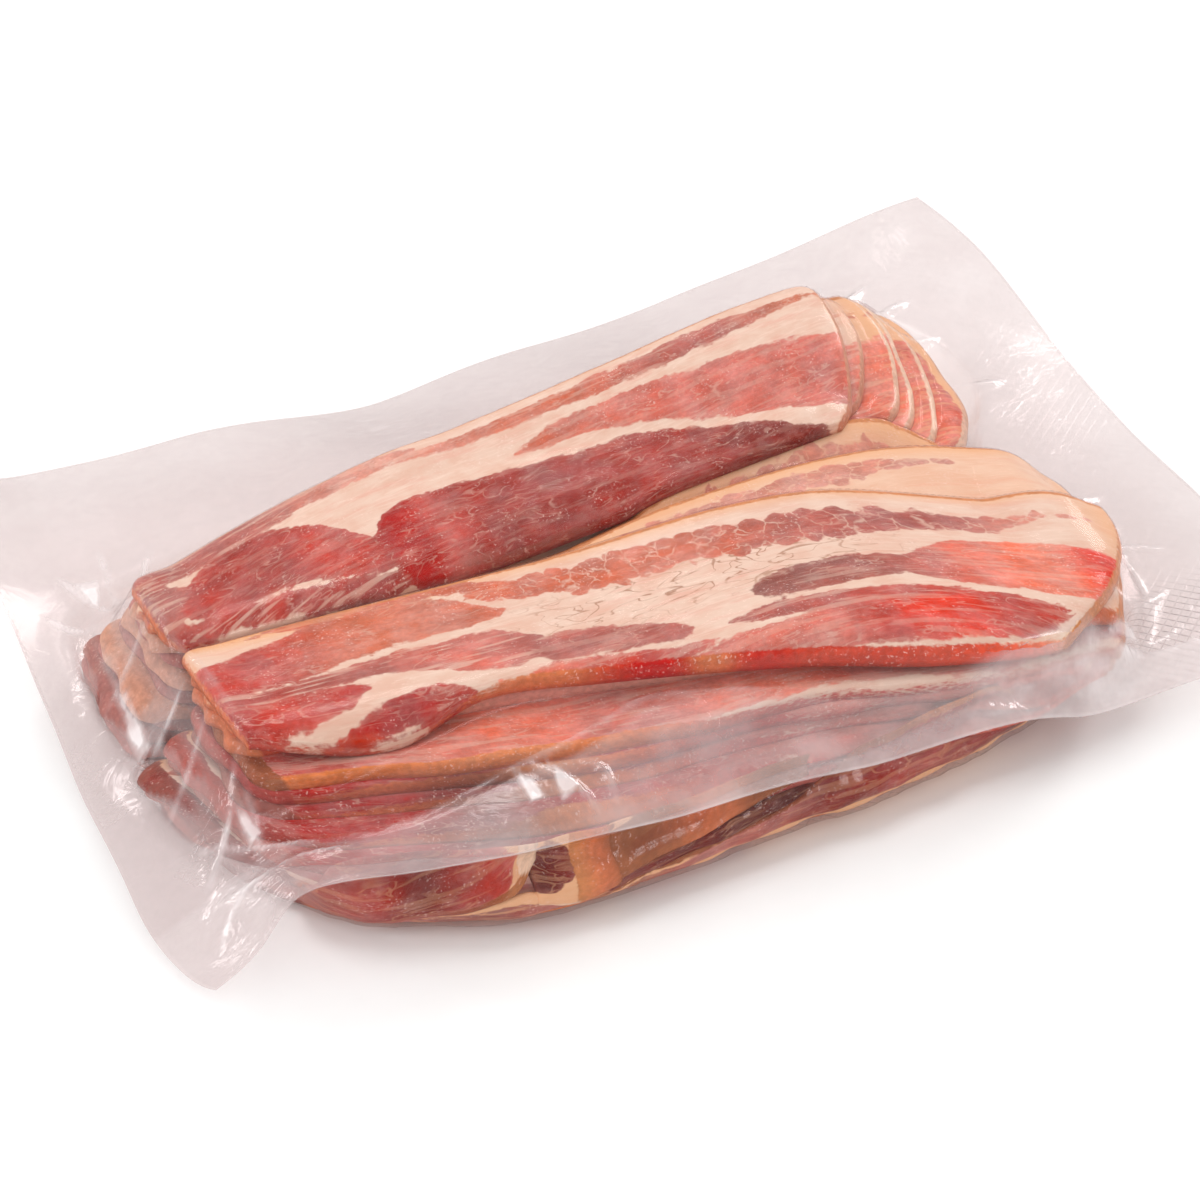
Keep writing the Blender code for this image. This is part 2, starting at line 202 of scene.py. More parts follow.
def slices():
    """Every slice from the bottom up: its name, edges, ends and thickness along X."""
    stations = np.linspace(-0.140, 0.114, 17)
    wave = np.random.default_rng(12)
    found = []
    for layer in reversed(range(LAYERS)):
        depth = layer / (LAYERS - 1)
        spread, aside = LAYER_SPREAD[layer], LEFT_SPREAD[layer]
        stagger = 0.0022 * np.sin(2.4 * layer + 1.0)
        step = BACK_END_STEPS[layer]
        found.append(
            {
                "name": f"back_{layer + 1:02d}",
                "back": blended(BACK_TOP_BACK, BACK_LOW_BACK, depth, stations),
                "front": blended(BACK_TOP_FRONT, BACK_LOW_FRONT, depth, stations),
                "left": [(0.0, -0.123 - 0.016 * aside), (1.0, -0.124 - 0.012 * aside)],
                "right": [(0.0, 0.074 + 1.1 * step), (0.5, 0.084 + step), (1.0, 0.086 + 0.8 * step)],
                "thickness": BACK_THICKNESS,
                "inset": 0.0,
                "corner": END_CORNER,
                "pressed": layer > 1,
            }
        )
        fanned = layer < len(FAN_BACKS)
        reach = 0.100 + 0.014 * depth + 2 * stagger
        found.append(
            {
                "name": f"front_{layer + 1:02d}",
                "back": FAN_BACKS[layer] if fanned else blended(FAN_BACKS[1], FRONT_LOW_BACK, depth, stations),
                "front": FAN_FRONTS[layer] if fanned else blended(SHELF_FRONT, FRONT_LOW_FRONT, spread, stations),
                "left": [(0.0, -0.119 - 0.006 * aside), (0.5, -0.121 - 0.014 * aside), (1.0, -0.121 - 0.018 * aside)],
                "right": FAN_ENDS[layer] if fanned else [(0.0, reach - 0.010), (0.4, reach), (1.0, reach - 0.004)],
                "thickness": FRONT_THICKNESS,
                "inset": WRAP_ROOM if spread > 0.7 else 0.0,
                "corner": END_CORNER if layer else 0.0012,
                "pressed": layer > 4,
            }
        )
        if layer == LONG_LAYER:
            found[-2]["right"] = LONG_END
        tuck_back, tuck_front = BACK_TUCKS.get(layer, (0.0, 0.0))
        found[-2]["back"] = [(x, y - tuck_back) for x, y in found[-2]["back"]]
        found[-2]["front"] = [(x, y + tuck_front) for x, y in found[-2]["front"]]
        for piece in found[-2:]:
            if layer > 0:
                piece["left"] = uneven(spread_out(piece["left"]), wave, 0.0014)
            if layer > 2:
                piece["right"] = uneven(spread_out(piece["right"]), wave, 0.0010)
                piece["front"] = uneven(piece["front"], wave, 0.0007)
                piece["back"] = uneven(piece["back"], wave, 0.0007)
    return found


# ---------------------------------------------------------------- height maps


def map_axes():
    along = np.arange(-MAP_HALF_LENGTH, MAP_HALF_LENGTH + CELL / 2, CELL)
    across = np.arange(-MAP_HALF_WIDTH, MAP_HALF_WIDTH + CELL / 2, CELL)
    return along, across


def outline(piece, share):
    """(left, right) ends of a slice at a share of its width, its corners rounded."""
    corner = piece["corner"] * np.abs(2 * np.clip(share, 0, 1) - 1) ** 8
    return curve(piece["left"], share) + corner, curve(piece["right"], share) - corner


def edge_distance(piece, x, y):
    """How far inside a slice's outline each point lies, negative outside."""
    front, back = curve(piece["front"], x), curve(piece["back"], x)
    share = (y - front) / (back - front)
    left, right = outline(piece, share)
    return np.minimum(np.minimum(x - left, right - x), np.minimum(y - front, back - y))


def dilated(heights, radius, reach):
    """The lowest surface over heights that bends down no tighter than radius."""
    for axis in (0, 1):
        lifted = heights.copy()
        for step in range(1, int(reach / CELL) + 1):
            drop = (step * CELL) ** 2 / (2 * radius)
            for shifted in (step, -step):
                np.maximum(lifted, np.roll(heights, shifted, axis) - drop, out=lifted)
        heights = lifted
    return heights


def blurred(heights, passes):
    for _ in range(passes):
        for axis in (0, 1):
            heights = (np.roll(heights, 1, axis) + 2 * heights + np.roll(heights, -1, axis)) / 4
    return heights


def bed(x, y):
    """The resting surface, with the film's pull lifting the lowest slices at their rims."""
    outside = np.maximum(np.abs(x + 0.012) - 0.112, 0)
    outside = np.hypot(outside, np.maximum(np.maximum(-0.086 - y, y - 0.042), 0))
    return FILM_GAP + outside**2 / (2 * BED_CURVE_RADIUS)


def thin_plate(places, values):
    """A function of x and y: the smoothest surface through values at places."""
    places = np.array(places, float)

    def spread(x, y):
        squared = (x[..., None] - places[:, 0]) ** 2 + (y[..., None] - places[:, 1]) ** 2
        return squared * np.log(squared + 1e-12) / 2

    n = len(places)
    plane = np.column_stack([np.ones(n), places])
    system = np.zeros((n + 3, n + 3))
    system[:n, :n] = spread(places[:, 0], places[:, 1])
    system[:n, n:], system[n:, :n] = plane, plane.T
    solved = np.linalg.solve(system, np.concatenate([values, np.zeros(3)]))
    return lambda x, y: spread(x, y) @ solved[:n] + solved[n] + solved[n + 1] * x + solved[n + 2] * y


def margin_height(x, y):
    heights = thin_plate([p[:2] for p in MARGIN_HEIGHTS], [p[2] for p in MARGIN_HEIGHTS])
    ripple = 0.0006 * np.sin(x * 95 + 1.2) * np.sin(y * 70 + 0.4)
    return np.maximum(heights(x, y) + ripple, 0.0011)


def clinging(obstacle, cling, start=None, passes=FILM_PASSES):
    """The film drawn down over an obstacle: it touches it, or bridges with curvature cling."""
    film = (obstacle if start is None else np.maximum(start, obstacle)).copy()
    pull = cling * CELL * CELL / 4
    for _ in range(passes):
        film[1:-1, 1:-1] = (film[:-2, 1:-1] + film[2:, 1:-1] + film[1:-1, :-2] + film[1:-1, 2:]) / 4 - pull[1:-1, 1:-1]
        np.maximum(film, obstacle, out=film)
    return film


def sampled(heights, x, y):
    """Heights between a map's points."""
    column = np.clip((x + MAP_HALF_LENGTH) / CELL, 0, heights.shape[1] - 1.001)
    row = np.clip((y + MAP_HALF_WIDTH) / CELL, 0, heights.shape[0] - 1.001)
    i, j = row.astype(int), column.astype(int)
    s, t = row - i, column - j
    return (
        heights[i, j] * (1 - s) * (1 - t)
        + heights[i + 1, j] * s * (1 - t)
        + heights[i, j + 1] * (1 - s) * t
        + heights[i + 1, j + 1] * s * t
    )


# ---------------------------------------------------------------- the pack's maps

# The film's creases: plan points and how far each crest stands off the film (mm).
CREASES = [
    # along the left ends of both piles
    ([(-126, 31), (-123, 15), (-120.5, -1), (-119, -15), (-118.5, -29), (-119, -41)], 1.1),
    # from the front pile's left front corner down to the margin
    ([(-121, -40), (-126, -48), (-131, -55), (-137, -62)], 2.6),
    ([(-121, -44), (-122, -54), (-125, -66)], 2.2),
    ([(-134, -50), (-128, -58), (-120, -66), (-110, -72)], 2.4),
    ([(-140, -68), (-130, -71), (-119, -74), (-107, -77)], 2.4),
    ([(-142, -80), (-136, -74), (-128, -69)], 1.8),
    # along the front, where the film leaves the meat
    ([(-128, -64), (-114, -70.6), (-97, -76), (-77, -76.4), (-64, -75), (-50, -73.4), (-38, -70.4), (-26, -68), (-12, -71.7), (2, -76.6), (26, -83), (45, -89)], 1.0),
    ([(-62, -74), (-56, -80), (-52, -87), (-50, -93)], 1.6),
    ([(-48, -78), (-44, -84), (-45, -92)], 1.0),
    # tucks at the four corners of the piles
    ([(-126, 34), (-130, 44), (-133, 54)], 2.0),
    ([(-124, 34), (-122, 48), (-120, 60)], 1.6),
    ([(-118, 36), (-112, 47), (-107, 56)], 1.2),
    ([(-128, 28), (-136, 36), (-141, 45)], 1.4),
    ([(88, 62), (95, 70), (102, 79)], 1.8),
    ([(92, 60), (103, 67), (114, 73)], 2.0),
    ([(98, 54), (110, 58), (121, 62)], 1.7),
    ([(84, 64), (87, 72), (91, 80)], 1.1),
    ([(103, 40), (112, 43), (121, 44)], 1.4),
    ([(113, 24), (121, 22), (128, 22)], 1.2),
    ([(110, -34), (119, -31), (127, -31)], 1.0),
    ([(111, -52), (121, -53), (130, -57)], 1.1),
    # long low tucks in front of the right ends
    ([(84, -90), (98, -84), (112, -76), (122, -70)], 1.5),
    ([(70, -95), (88, -94), (104, -89), (118, -84)], 1.3),
    ([(52, -93), (66, -96), (80, -97)], 1.0),
    # on the left side, above the table
    ([(-124, 10), (-131, 8), (-138, 5)], 1.2),
    ([(-123, -12), (-130, -16), (-137, -19)], 1.5),
    ([(-123, -26), (-130, -31), (-137, -36)], 1.2),
    ([(-132, 26), (-134, 12), (-134, -2)], 0.9),
]


# Where the front flange begins, and how cloudy it is along X: partly the loose film's haze, partly a painted sheen of
# the lamps, strongest right of the middle.
FLANGE_RIDGE = [
    (-0.140, -0.063), (-0.128, -0.064), (-0.114, -0.0706), (-0.097, -0.076), (-0.077, -0.0764), (-0.064, -0.0765), (-0.050, -0.0760),
    (-0.038, -0.0725), (-0.026, -0.069), (-0.012, -0.0717), (0.002, -0.0766), (0.026, -0.083), (0.045, -0.088), (0.060, -0.0895), (0.120, -0.088),
]
FLANGE_MILK_AND_SHEEN = [(-0.140, 0.20), (-0.060, 0.34), (0.020, 0.40), (0.045, 0.46), (0.070, 0.70), (0.110, 0.55), (0.130, 0.20)]
# Painted highlights on the film: whitish patches where flat stretches of film between creases would catch the light,
# corners in plan (mm).
PAINTED_HIGHLIGHT_PATCHES = [
    [(-135.5, 7), (-132.6, 4), (-133.8, -15), (-137.2, -17)],
    [(-123.8, -45), (-121.4, -58), (-126.2, -60.5)],
    [(-64.5, -74), (-61, -79), (-60.5, -85), (-64, -85)],
    [(-55.8, -76), (-51, -86), (-57, -87.5)],
    [(-128, 38), (-124, 49), (-130.5, 50)],
    [(97, 60), (110, 66), (106, 70)],
    [(86, -92), (103, -88), (101, -85.5)],
]


class Pack:
    """The stack and the film as height maps, made once and read by every operator."""

    def __init__(self):
        along, across = map_axes()
        self.x, self.y = np.meshgrid(along, across)
        self.margin = margin_height(self.x, self.y)
        self.lay_slices()
        self.draw_film()

    def lay_slices(self):
        x, y = self.x, self.y
        tops = bed(x, y)
        meat = np.full_like(tops, -1.0)
        undersides = np.full_like(tops, np.inf)
        self.pieces = slices()
        for piece in self.pieces:
            inside = edge_distance(piece, x, y)
            near = inside > -1.5 * CELL
            floor = dilated(np.where(near, tops, -1.0), SLICE_BEND_RADIUS, SLICE_OVERHANG)
            floor = blurred(np.maximum(floor, np.where(near, tops, -1.0)), 2)
            rounding = np.sqrt(1 - (1 - np.clip(inside / 0.0022, 0, 1)) ** 2)
            thickness = curve(piece["thickness"], x) * (0.45 + 0.55 * rounding)
            drop = EDGE_DROP * np.maximum(-inside, 0)
            undersides = np.where(inside > 0, np.minimum(undersides, floor), undersides)
            meat = np.maximum(meat, floor + thickness - drop)
            tops = np.maximum(tops, meat)
            piece["floor"] = floor
        self.meat, self.undersides = meat, np.where(np.isfinite(undersides), undersides, np.nan)

    def draw_film(self):
        x = self.x
        loose = np.clip((-0.108 - x) / 0.010, 0, 1)
        cling = FILM_CLING + (FILM_LOOSE - FILM_CLING) * loose
        obstacle = np.maximum(self.meat + FILM_GAP, self.margin)
        plain = clinging(obstacle, cling)
        creased = np.maximum(obstacle, self.crests(plain))
        self.upper = clinging(creased, np.maximum(cling, CREASE_CLING * (creased > obstacle)), plain, 200)
        hang = clinging(-np.fmin(self.undersides - FILM_GAP, self.margin), np.full_like(cling, FILM_TIGHT))
        self.lower = np.minimum(blurred(np.maximum(-hang, 0.0), 3), self.upper)
        self.plain = plain

    def crests(self, film):
        """The creases' crest lines, as heights on the map."""
        crest = np.zeros_like(film)
        self.folds = np.zeros_like(film)
        for points, lift in CREASES:
            points = np.array(points, float) / 1000
            reach = np.concatenate([[0], np.cumsum(np.hypot(*np.diff(points, axis=0).T))])
            share = np.linspace(0, 1, int(reach[-1] / CELL * 3) + 2)
            at = share * reach[-1]
            px = curve(list(zip(reach, points[:, 0])), at)
            py = curve(list(zip(reach, points[:, 1])), at)
            height = sampled(film, px, py) + lift / 1000 * np.sin(np.pi * np.clip(share, 0.02, 0.98)) ** 0.7
            column = np.round((px + MAP_HALF_LENGTH) / CELL).astype(int)
            row = np.round((py + MAP_HALF_WIDTH) / CELL).astype(int)
            np.maximum.at(crest, (row, column), height)
            sharp = np.sin(np.pi * np.clip(share, 0.03, 0.97)) ** 0.5 * min(lift, 1.6) / 1.6
            for i in (row, row + np.where((py + MAP_HALF_WIDTH) / CELL > row, 1, -1)):
                for j in (column, column + np.where((px + MAP_HALF_LENGTH) / CELL > column, 1, -1)):
                    away = np.hypot((py + MAP_HALF_WIDTH) / CELL - i, (px + MAP_HALF_LENGTH) / CELL - j)
                    np.maximum.at(self.folds, (i, j), sharp * np.clip(1.1 - away, 0, 1))
        return crest


def facets(x, y):
    """How far each point lies in one of the film's painted highlight patches, 0 to 1."""
    found = np.zeros_like(x)
    for corners in PAINTED_HIGHLIGHT_PATCHES:
        corners = np.array(corners) / 1000
        middle = corners.mean(0)
        inside = np.full_like(x, np.inf)
        for (ax, ay), (bx, by) in zip(corners, np.roll(corners, -1, 0)):
            across = np.array([by - ay, ax - bx]) / np.hypot(bx - ax, by - ay)
            side = np.sign((middle - (ax, ay)) @ across)
            inside = np.minimum(inside, side * ((x - ax) * across[0] + (y - ay) * across[1]))
        found = np.maximum(found, eased(inside / 0.0026 + 0.3))
    return found


def rim(x, y):
    """Where a point of the flat pouch goes in plan, once the contents have pulled the rim in."""
    front_share = np.clip((-0.060 - y) / 0.043, 0, 1) ** 2
    left_share = np.clip((-0.125 - x) / 0.025, 0, 1) ** 2
    right_share = np.clip((x - 0.120) / 0.030, 0, 1) ** 2
    sideways = curve(RIM_LEFT, y) * left_share + curve(RIM_RIGHT, y) * right_share
    return x + sideways, y + curve(RIM_FRONT, x) * front_share


def bellied(x, y, z, margin):
    """Pushes what lies below the margin outwards, most of all at the front."""
    bump = np.exp(-(((z - BELLY_HEIGHT) / BELLY_SPREAD) ** 4)) * eased((sampled(margin, x, y) - z) / BELLY_ROOM)
    front = eased((-0.058 - y) / 0.032) * eased((0.125 - np.abs(x + 0.022)) / 0.034)
    back = eased((y - 0.036) / 0.020) * eased((0.118 - np.abs(x + 0.010)) / 0.034)
    return x, y - BELLY_FRONT * front * bump + BELLY_BACK * back * bump


_pack = []


def pack_maps():
    if not _pack:
        _pack.append(Pack())
    return _pack[0]


# ---------------------------------------------------------------- meshes


def placed(x, y, z):
    """Points of the pack's plan, moved so that the pouch's outline is centred."""
    return np.stack([x - OUTLINE_MIDDLE[0], y - OUTLINE_MIDDLE[1], z], -1)


def mesh_piece(name, points, faces, material):
    mesh = bpy.data.meshes.new(name)
    mesh.from_pydata(points.reshape(-1, 3).tolist(), [], faces)
    mesh.update()
    mesh.shade_smooth()
    mesh.materials.append(material)
    piece = bpy.data.objects.new(name, mesh)
    bpy.context.scene.collection.objects.link(piece)
    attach(piece, BODY)
    return piece


def paint(piece, name, values):
    """Stores a number, or three, for each vertex."""
    values = np.asarray(values, np.float32)
    if values.ndim == 1:
        piece.data.attributes.new(name, "FLOAT", "POINT").data.foreach_set("value", values)
    else:
        piece.data.attributes.new(name, "FLOAT_VECTOR", "POINT").data.foreach_set("vector", values.ravel())


def grid_faces(rows, columns, first=0, flipped=False):
    index = np.arange(rows * columns).reshape(rows, columns) + first
    faces = np.stack([index[:-1, :-1], index[:-1, 1:], index[1:, 1:], index[1:, :-1]], -1).reshape(-1, 4)
    return (faces[:, ::-1] if flipped else faces).tolist()


def closed_grid(upper, lower):
    """(points, faces) of a closed sheet whose two grids meet along their rims."""
    rows, columns = upper.shape[:2]
    count = rows * columns
    points = np.concatenate([upper.reshape(-1, 3), lower.reshape(-1, 3)])
    under = np.arange(count, 2 * count).reshape(rows, columns)
    top = np.arange(count).reshape(rows, columns)
    for edge in (np.s_[0, :], np.s_[-1, :], np.s_[:, 0], np.s_[:, -1]):
        under[edge] = top[edge]
    below = np.stack([under[:-1, :-1], under[1:, :-1], under[1:, 1:], under[:-1, 1:]], -1).reshape(-1, 4)
    faces = grid_faces(rows, columns) + below.tolist()
    used = np.unique(np.array(faces))
    new = np.full(2 * count, -1)
    new[used] = np.arange(len(used))
    return points[used], new[np.array(faces)].tolist(), used


def edge_steps(length, count):
    """Shares along a length, crowded at both ends so that a cut edge is crisp."""
    near = np.array([0, 0.00012, 0.0004, 0.0010, 0.0018]) / length
    middle = np.linspace(near[-1], 1 - near[-1], count)[1:-1]
    return np.concatenate([near, middle, 1 - near[::-1]])


# ---------------------------------------------------------------- lean and fat

COLOURS = {
    "pale": (214, 144, 126),
    "salmon": (202, 108, 82),
    "pink": (208, 112, 98),
    "red": (190, 72, 62),
    "deep": (164, 60, 52),
    "dark": (132, 44, 36),
    # The next two are dark tones for the folded slices, partly painted shade under the flange; umber also colours plain
    # cut edges.
    "wine": (104, 34, 26),
    "umber": (152, 84, 50),
    "dusk": (204, 148, 122),
    "plum": (166, 104, 96),
    "mauve": (178, 98, 88),
    "brown": (148, 82, 72),
    "coral": (232, 122, 96),
    "blaze": (220, 58, 36),
    "cherry": (174, 30, 22),
    "rind": (202, 128, 76),
    "orange": (214, 118, 62),
    "tan": (206, 112, 70),
    "ember": (196, 54, 30),
    "cream": (232, 200, 174),
}

# Each muscle of a top slice, in millimetres: its middle line and half width along X,
# both measured from the slice's back edge, its colours along X, and how far it is
# broken into islands and streaked with fat.
BACK_TOP_MUSCLES = [
    # The mauve of the first two muscles, where the slice slopes away at its left back, is partly painted shade.
    ([(-125, 17), (-116, 17), (-108, 15)], [(-126, 10), (-120, 9), (-114, 5), (-109, 1.5), (-106, 0)], [(-126, "mauve"), (-106, "mauve")], 0.0, 0.45),
    ([(-124, 5), (-90, 4), (-60, 4.6), (-44, 6)], [(-126, 5), (-90, 5.6), (-64, 4.4), (-50, 3), (-38, 0)],
     [(-124, "mauve"), (-90, "mauve"), (-60, "pale"), (-38, "pale")], 0.0, 0.42),
    ([(-46, 8), (-30, 9), (0, 9.2), (40, 9.4), (84, 9.2)], [(-48, 0), (-40, 1.2), (-20, 2.2), (20, 2.9), (52, 3.1), (64, 2), (84, 0.8)],
     [(-48, "pale"), (0, "salmon"), (50, "mauve"), (84, "tan")], 0.15, 0.30),
    ([(-16, 19.0), (0, 18.3), (20, 20.5), (40, 25), (60, 30), (80, 34.5)],
     [(-19, 0), (-12, 1.8), (4, 3.2), (20, 5.0), (40, 8.0), (60, 10.8), (76, 11.4), (82, 10.6), (90, 9)],
     [(-18, "salmon"), (30, "pink"), (60, "pink"), (76, "pink"), (84, "coral")], 0.05, 0.18),
    ([(-117, 21), (-108, 19), (-98, 19.4), (-85, 22), (-72, 29), (-62, 37)],
     [(-118, 0), (-114, 4.5), (-106, 8.6), (-98, 10.4), (-85, 11.4), (-75, 11), (-66, 8), (-60, 4), (-57, 0)],
     [(-116, "red"), (-95, "deep"), (-70, "red"), (-60, "deep")], 0.0, 0.12),
    ([(-124, 27), (-110, 28.5), (-95, 34), (-80, 40), (-66, 45)],
     [(-125, 2.4), (-105, 2.6), (-85, 3.2), (-65, 2.8), (-55, 0)],
     [(-124, "red"), (-60, "deep")], 0.0, 0.5),
    ([(-122, 33.5), (-100, 39), (-80, 45)], [(-123, 2.6), (-100, 2.6), (-75, 2.0), (-60, 0)], [(-122, "deep"), (-60, "dark")], 0.0, 0.3),
    ([(-62, 36), (-50, 37), (-30, 40), (0, 42), (20, 43), (40, 47.5), (60, 52), (70, 53)],
     [(-64, 2), (-60, 10), (-54, 14.6), (-46, 16.4), (-30, 17), (0, 15.6), (20, 14.6), (40, 10.6), (60, 4.6), (72, 0.8)],
     [(-62, "cherry"), (-52, "cherry"), (-47, "red"), (-36, "deep"), (20, "deep"), (50, "dark"), (70, "dark")], 0.0, 0.10),
]
FRONT_TOP_MUSCLES = [
    ([(-108, 4), (-85, 2.6), (-64, 2), (-50, 5), (-40, 8)], [(-112, 0), (-95, 2.0), (-70, 2.6), (-52, 2.4), (-42, 1.6), (-36, 0)],
     [(-110, "salmon"), (-40, "salmon")], 0.35, 0.35),
    ([(-120, 19.5), (-110, 17.5), (-100, 15.6), (-85, 12.4), (-70, 11.8), (-58, 13), (-48, 16.5)],
     [(-122, 7.0), (-105, 8.0), (-90, 8.6), (-75, 8.2), (-62, 7), (-52, 4.2), (-44, 0)],
     [(-120, "red"), (-104, "red"), (-84, "salmon"), (-44, "salmon")], 0.12, 0.06),
    ([(-52, 9), (-40, 10.5), (-25, 12), (0, 13.6), (20, 15.6), (40, 15.8), (60, 15), (72, 14.4), (88, 12.6)],
     [(-54, 0), (-46, 2.4), (-38, 3.8), (-25, 5.2), (0, 5.8), (20, 6.2), (40, 6.0), (60, 5.3), (70, 4.4), (80, 2.6), (90, 1.2), (104, 0)],
     [(-50, "salmon"), (0, "salmon"), (40, "mauve"), (70, "mauve"), (90, "pale")], 1.0, 0.08),
    ([(-121, 27.5), (-100, 27.0), (-80, 26), (-62, 28.5), (-50, 30.5)],
     [(-123, 3.2), (-100, 2.4), (-80, 3.0), (-66, 5.4), (-56, 7.2), (-48, 6), (-40, 0)],
     [(-121, "red"), (-80, "mauve"), (-56, "pink"), (-44, "mauve")], 0.08, 0.5),
    ([(-121, 35), (-105, 34.5), (-95, 33.4), (-86, 32.4)], [(-122, 5.6), (-105, 5.4), (-95, 4.4), (-90, 3.2), (-84, 0)],
     [(-121, "cherry"), (-104, "red"), (-86, "cherry")], 0.0, 0.15),
    ([(-121, 43), (-104, 45), (-92, 44)], [(-122, 3.0), (-104, 2.2), (-92, 1.6), (-86, 0)], [(-121, "dark"), (-88, "ember")], 0.0, 0.1),
    ([(-94, 42), (-80, 40.6), (-70, 40), (-62, 42)], [(-96, 0), (-86, 3.0), (-74, 3.6), (-66, 3.0), (-60, 0)],
     [(-92, "cherry"), (-76, "cherry"), (-61, "ember")], 0.0, 0.1),
    ([(-46, 34), (-35, 34.8), (-20, 38), (-8, 41.5)], [(-48, 0), (-42, 4.2), (-30, 4.8), (-20, 4.0), (-12, 3.4), (-6, 0)],
     [(-46, "mauve"), (-8, "mauve")], 0.0, 0.16),
    ([(-56, 41), (-30, 44), (-12, 48)], [(-60, 0), (-44, 2.4), (-25, 2.6), (-10, 1.6), (-2, 0)], [(-50, "coral"), (-20, "red"), (-5, "pink")], 0.0, 0.25),
    ([(12, 36.6), (20, 35.6), (35, 35.2), (50, 34.6), (60, 34.6)], [(10, 0), (15, 3.4), (24, 5.2), (36, 5.2), (46, 4.6), (54, 3.2), (64, 1)],
     [(12, "brown"), (60, "mauve")], 0.0, 0.28),
    ([(48, 36), (60, 34), (70, 32.6), (80, 32.6), (90, 33.4), (104, 31)], [(46, 0.6), (54, 5), (62, 9.0), (72, 10.6), (80, 11), (90, 9.4), (98, 7.4), (106, 5)],
     [(48, "mauve"), (60, "pink"), (76, "coral"), (86, "coral"), (94, "blaze"), (106, "blaze")], 0.0, 0.24),
    ([(2, 44), (15, 45), (30, 45.6), (45, 46.4), (60, 47)], [(0, 0), (8, 2.0), (25, 3.4), (45, 2.6), (60, 1.6), (68, 0)],
     [(2, "mauve"), (60, "red")], 0.0, 0.35),
    ([(-12, 50), (0, 51.5), (20, 54.0), (40, 56), (55, 54.6), (70, 51.4), (80, 49)],
     [(-18, 0), (-4, 2.4), (10, 4.4), (20, 5.8), (40, 7.2), (55, 7.4), (70, 5.6), (78, 2.4), (82, 0)],
     [(-12, "pink"), (25, "pink"), (36, "red"), (46, "blaze"), (58, "blaze"), (66, "red"), (78, "red")], 0.0, 0.2),
]
FAN_MUSCLES = [
    ([(-120, 12), (-40, 11), (-20, 10.6), (40, 10.4), (72, 10.2), (90, 10)],
     [(-120, 4), (-20, 3.4), (20, 4.0), (60, 3.8), (74, 2.6), (84, 1.0), (92, 0)],
     [(-120, "salmon"), (60, "pale"), (92, "pale")], 1.0, 0.1),
    ([(-120, 48), (110, 48)], [(-120, 6), (110, 6)], [(-120, "red"), (-60, "coral"), (110, "coral")], 0.0, 0.4),
]
# The same from the front edge, for the slice that shows in front of the front pile's top.
SHELF_MUSCLES = [
    ([(-121, 6), (-100, 8.0), (-60, 9.6), (-20, 9.2), (20, 8), (60, 6.4), (104, 8)],
     [(-121, 4.6), (-108, 7.0), (-60, 9.0), (-20, 8.6), (10, 6.4), (30, 4.6), (60, 5.6), (104, 5)],
     [(-121, "red"), (-84, "pink"), (-60, "coral"), (-30, "pink"), (0, "coral"), (30, "pink"), (70, "pink"), (104, "red")], 0.0, 0.3),
    ([(-121, 24), (0, 24), (104, 24)], [(-121, 4), (104, 4)], [(-121, "deep"), (104, "red")], 0.0, 0.5),
]
UNDER_MUSCLES = [
    ([(-121, 9), (-90, 9), (-40, 9), (104, 9)], [(-121, 10), (-90, 11), (-55, 11), (-40, 10), (0, 9), (40, 10), (104, 10)],
     [(-121, "cherry"), (-90, "cherry"), (-70, "dark"), (-50, "cherry"), (-20, "red"), (30, "pink"), (104, "pink")], 0.0, 0.10),
    ([(-121, 26), (104, 26)], [(-121, 6), (104, 6)], [(-121, "deep"), (104, "red")], 0.0, 0.4),
]
BACK_END_MUSCLES = [
    ([(-140, 9), (0, 9.5), (112, 10.5)], [(-140, 2.6), (60, 2.2), (84, 1.0), (112, 0.4)], [(-140, "mauve"), (112, "salmon")], 0.0, 0.6),
    ([(-140, 30), (60, 36), (112, 38)], [(-140, 14), (60, 15), (90, 18), (112, 19)], [(-140, "mauve"), (-100, "red"), (70, "pink"), (96, "coral"), (118, "red")], 0.0, 0.40),
]


def streaky_muscles(wave, width):
    """Lean bands of an ordinary slice of streaky bacon, from its rind edge."""
    bands = [(0.24, 0.075, "salmon", 0.8, 0.2), (0.55, 0.11, "pink", 0.1, 0.5), (0.86, 0.12, "deep", 0.0, 0.4)]
    stations = np.linspace(-140, 115, 8)
    found = []
    for middle, half, colour, islands, streaks in bands:
        middles = [(x, width * (middle + wave.uniform(-0.04, 0.04))) for x in stations]
        halves = [(x, width * half * wave.uniform(0.4, 1.35)) for x in stations]
        tints = [(x, str(wave.choice([colour, "red", "mauve"]))) for x in stations]
        found.append((middles, halves, tints, islands, streaks))
    return found


def tinted(tints, x):
    """Colours along X, blended in linear light."""
    return np.stack([np.clip(curve([(p, linear(COLOURS[c])[k]) for p, c in tints], x), 0, 1) for k in range(3)], -1)


def muscle_fields(muscles, x, v):
    """For points in millimetres: lean depth, lean colour, islands and streaks."""
    depth = np.full(x.shape, -50.0)
    colour = np.zeros(x.shape + (3,))
    weight = np.zeros(x.shape)
    islands, streaks = np.zeros(x.shape), np.zeros(x.shape)
    for middle, half, tints, island, streak in muscles:
        reach = curve(half, x)
        inside = reach - np.abs(v - curve(middle, x))
        inside = np.minimum(inside, -np.maximum(half[0][0] - x, x - half[-1][0]) + 0.4)
        inside = np.where(reach < 0.5, np.minimum(inside, reach * 2 - 1.0), inside)
        share = np.exp(np.clip(inside, -6, 3) * 2.0)
        colour += share[..., None] * tinted(tints, x)
        islands += share * island
        streaks += share * streak
        weight += share
        depth = np.maximum(depth, inside)
    weight = np.maximum(weight, 1e-9)
    return depth, colour / weight[..., None], islands / weight, streaks / weight


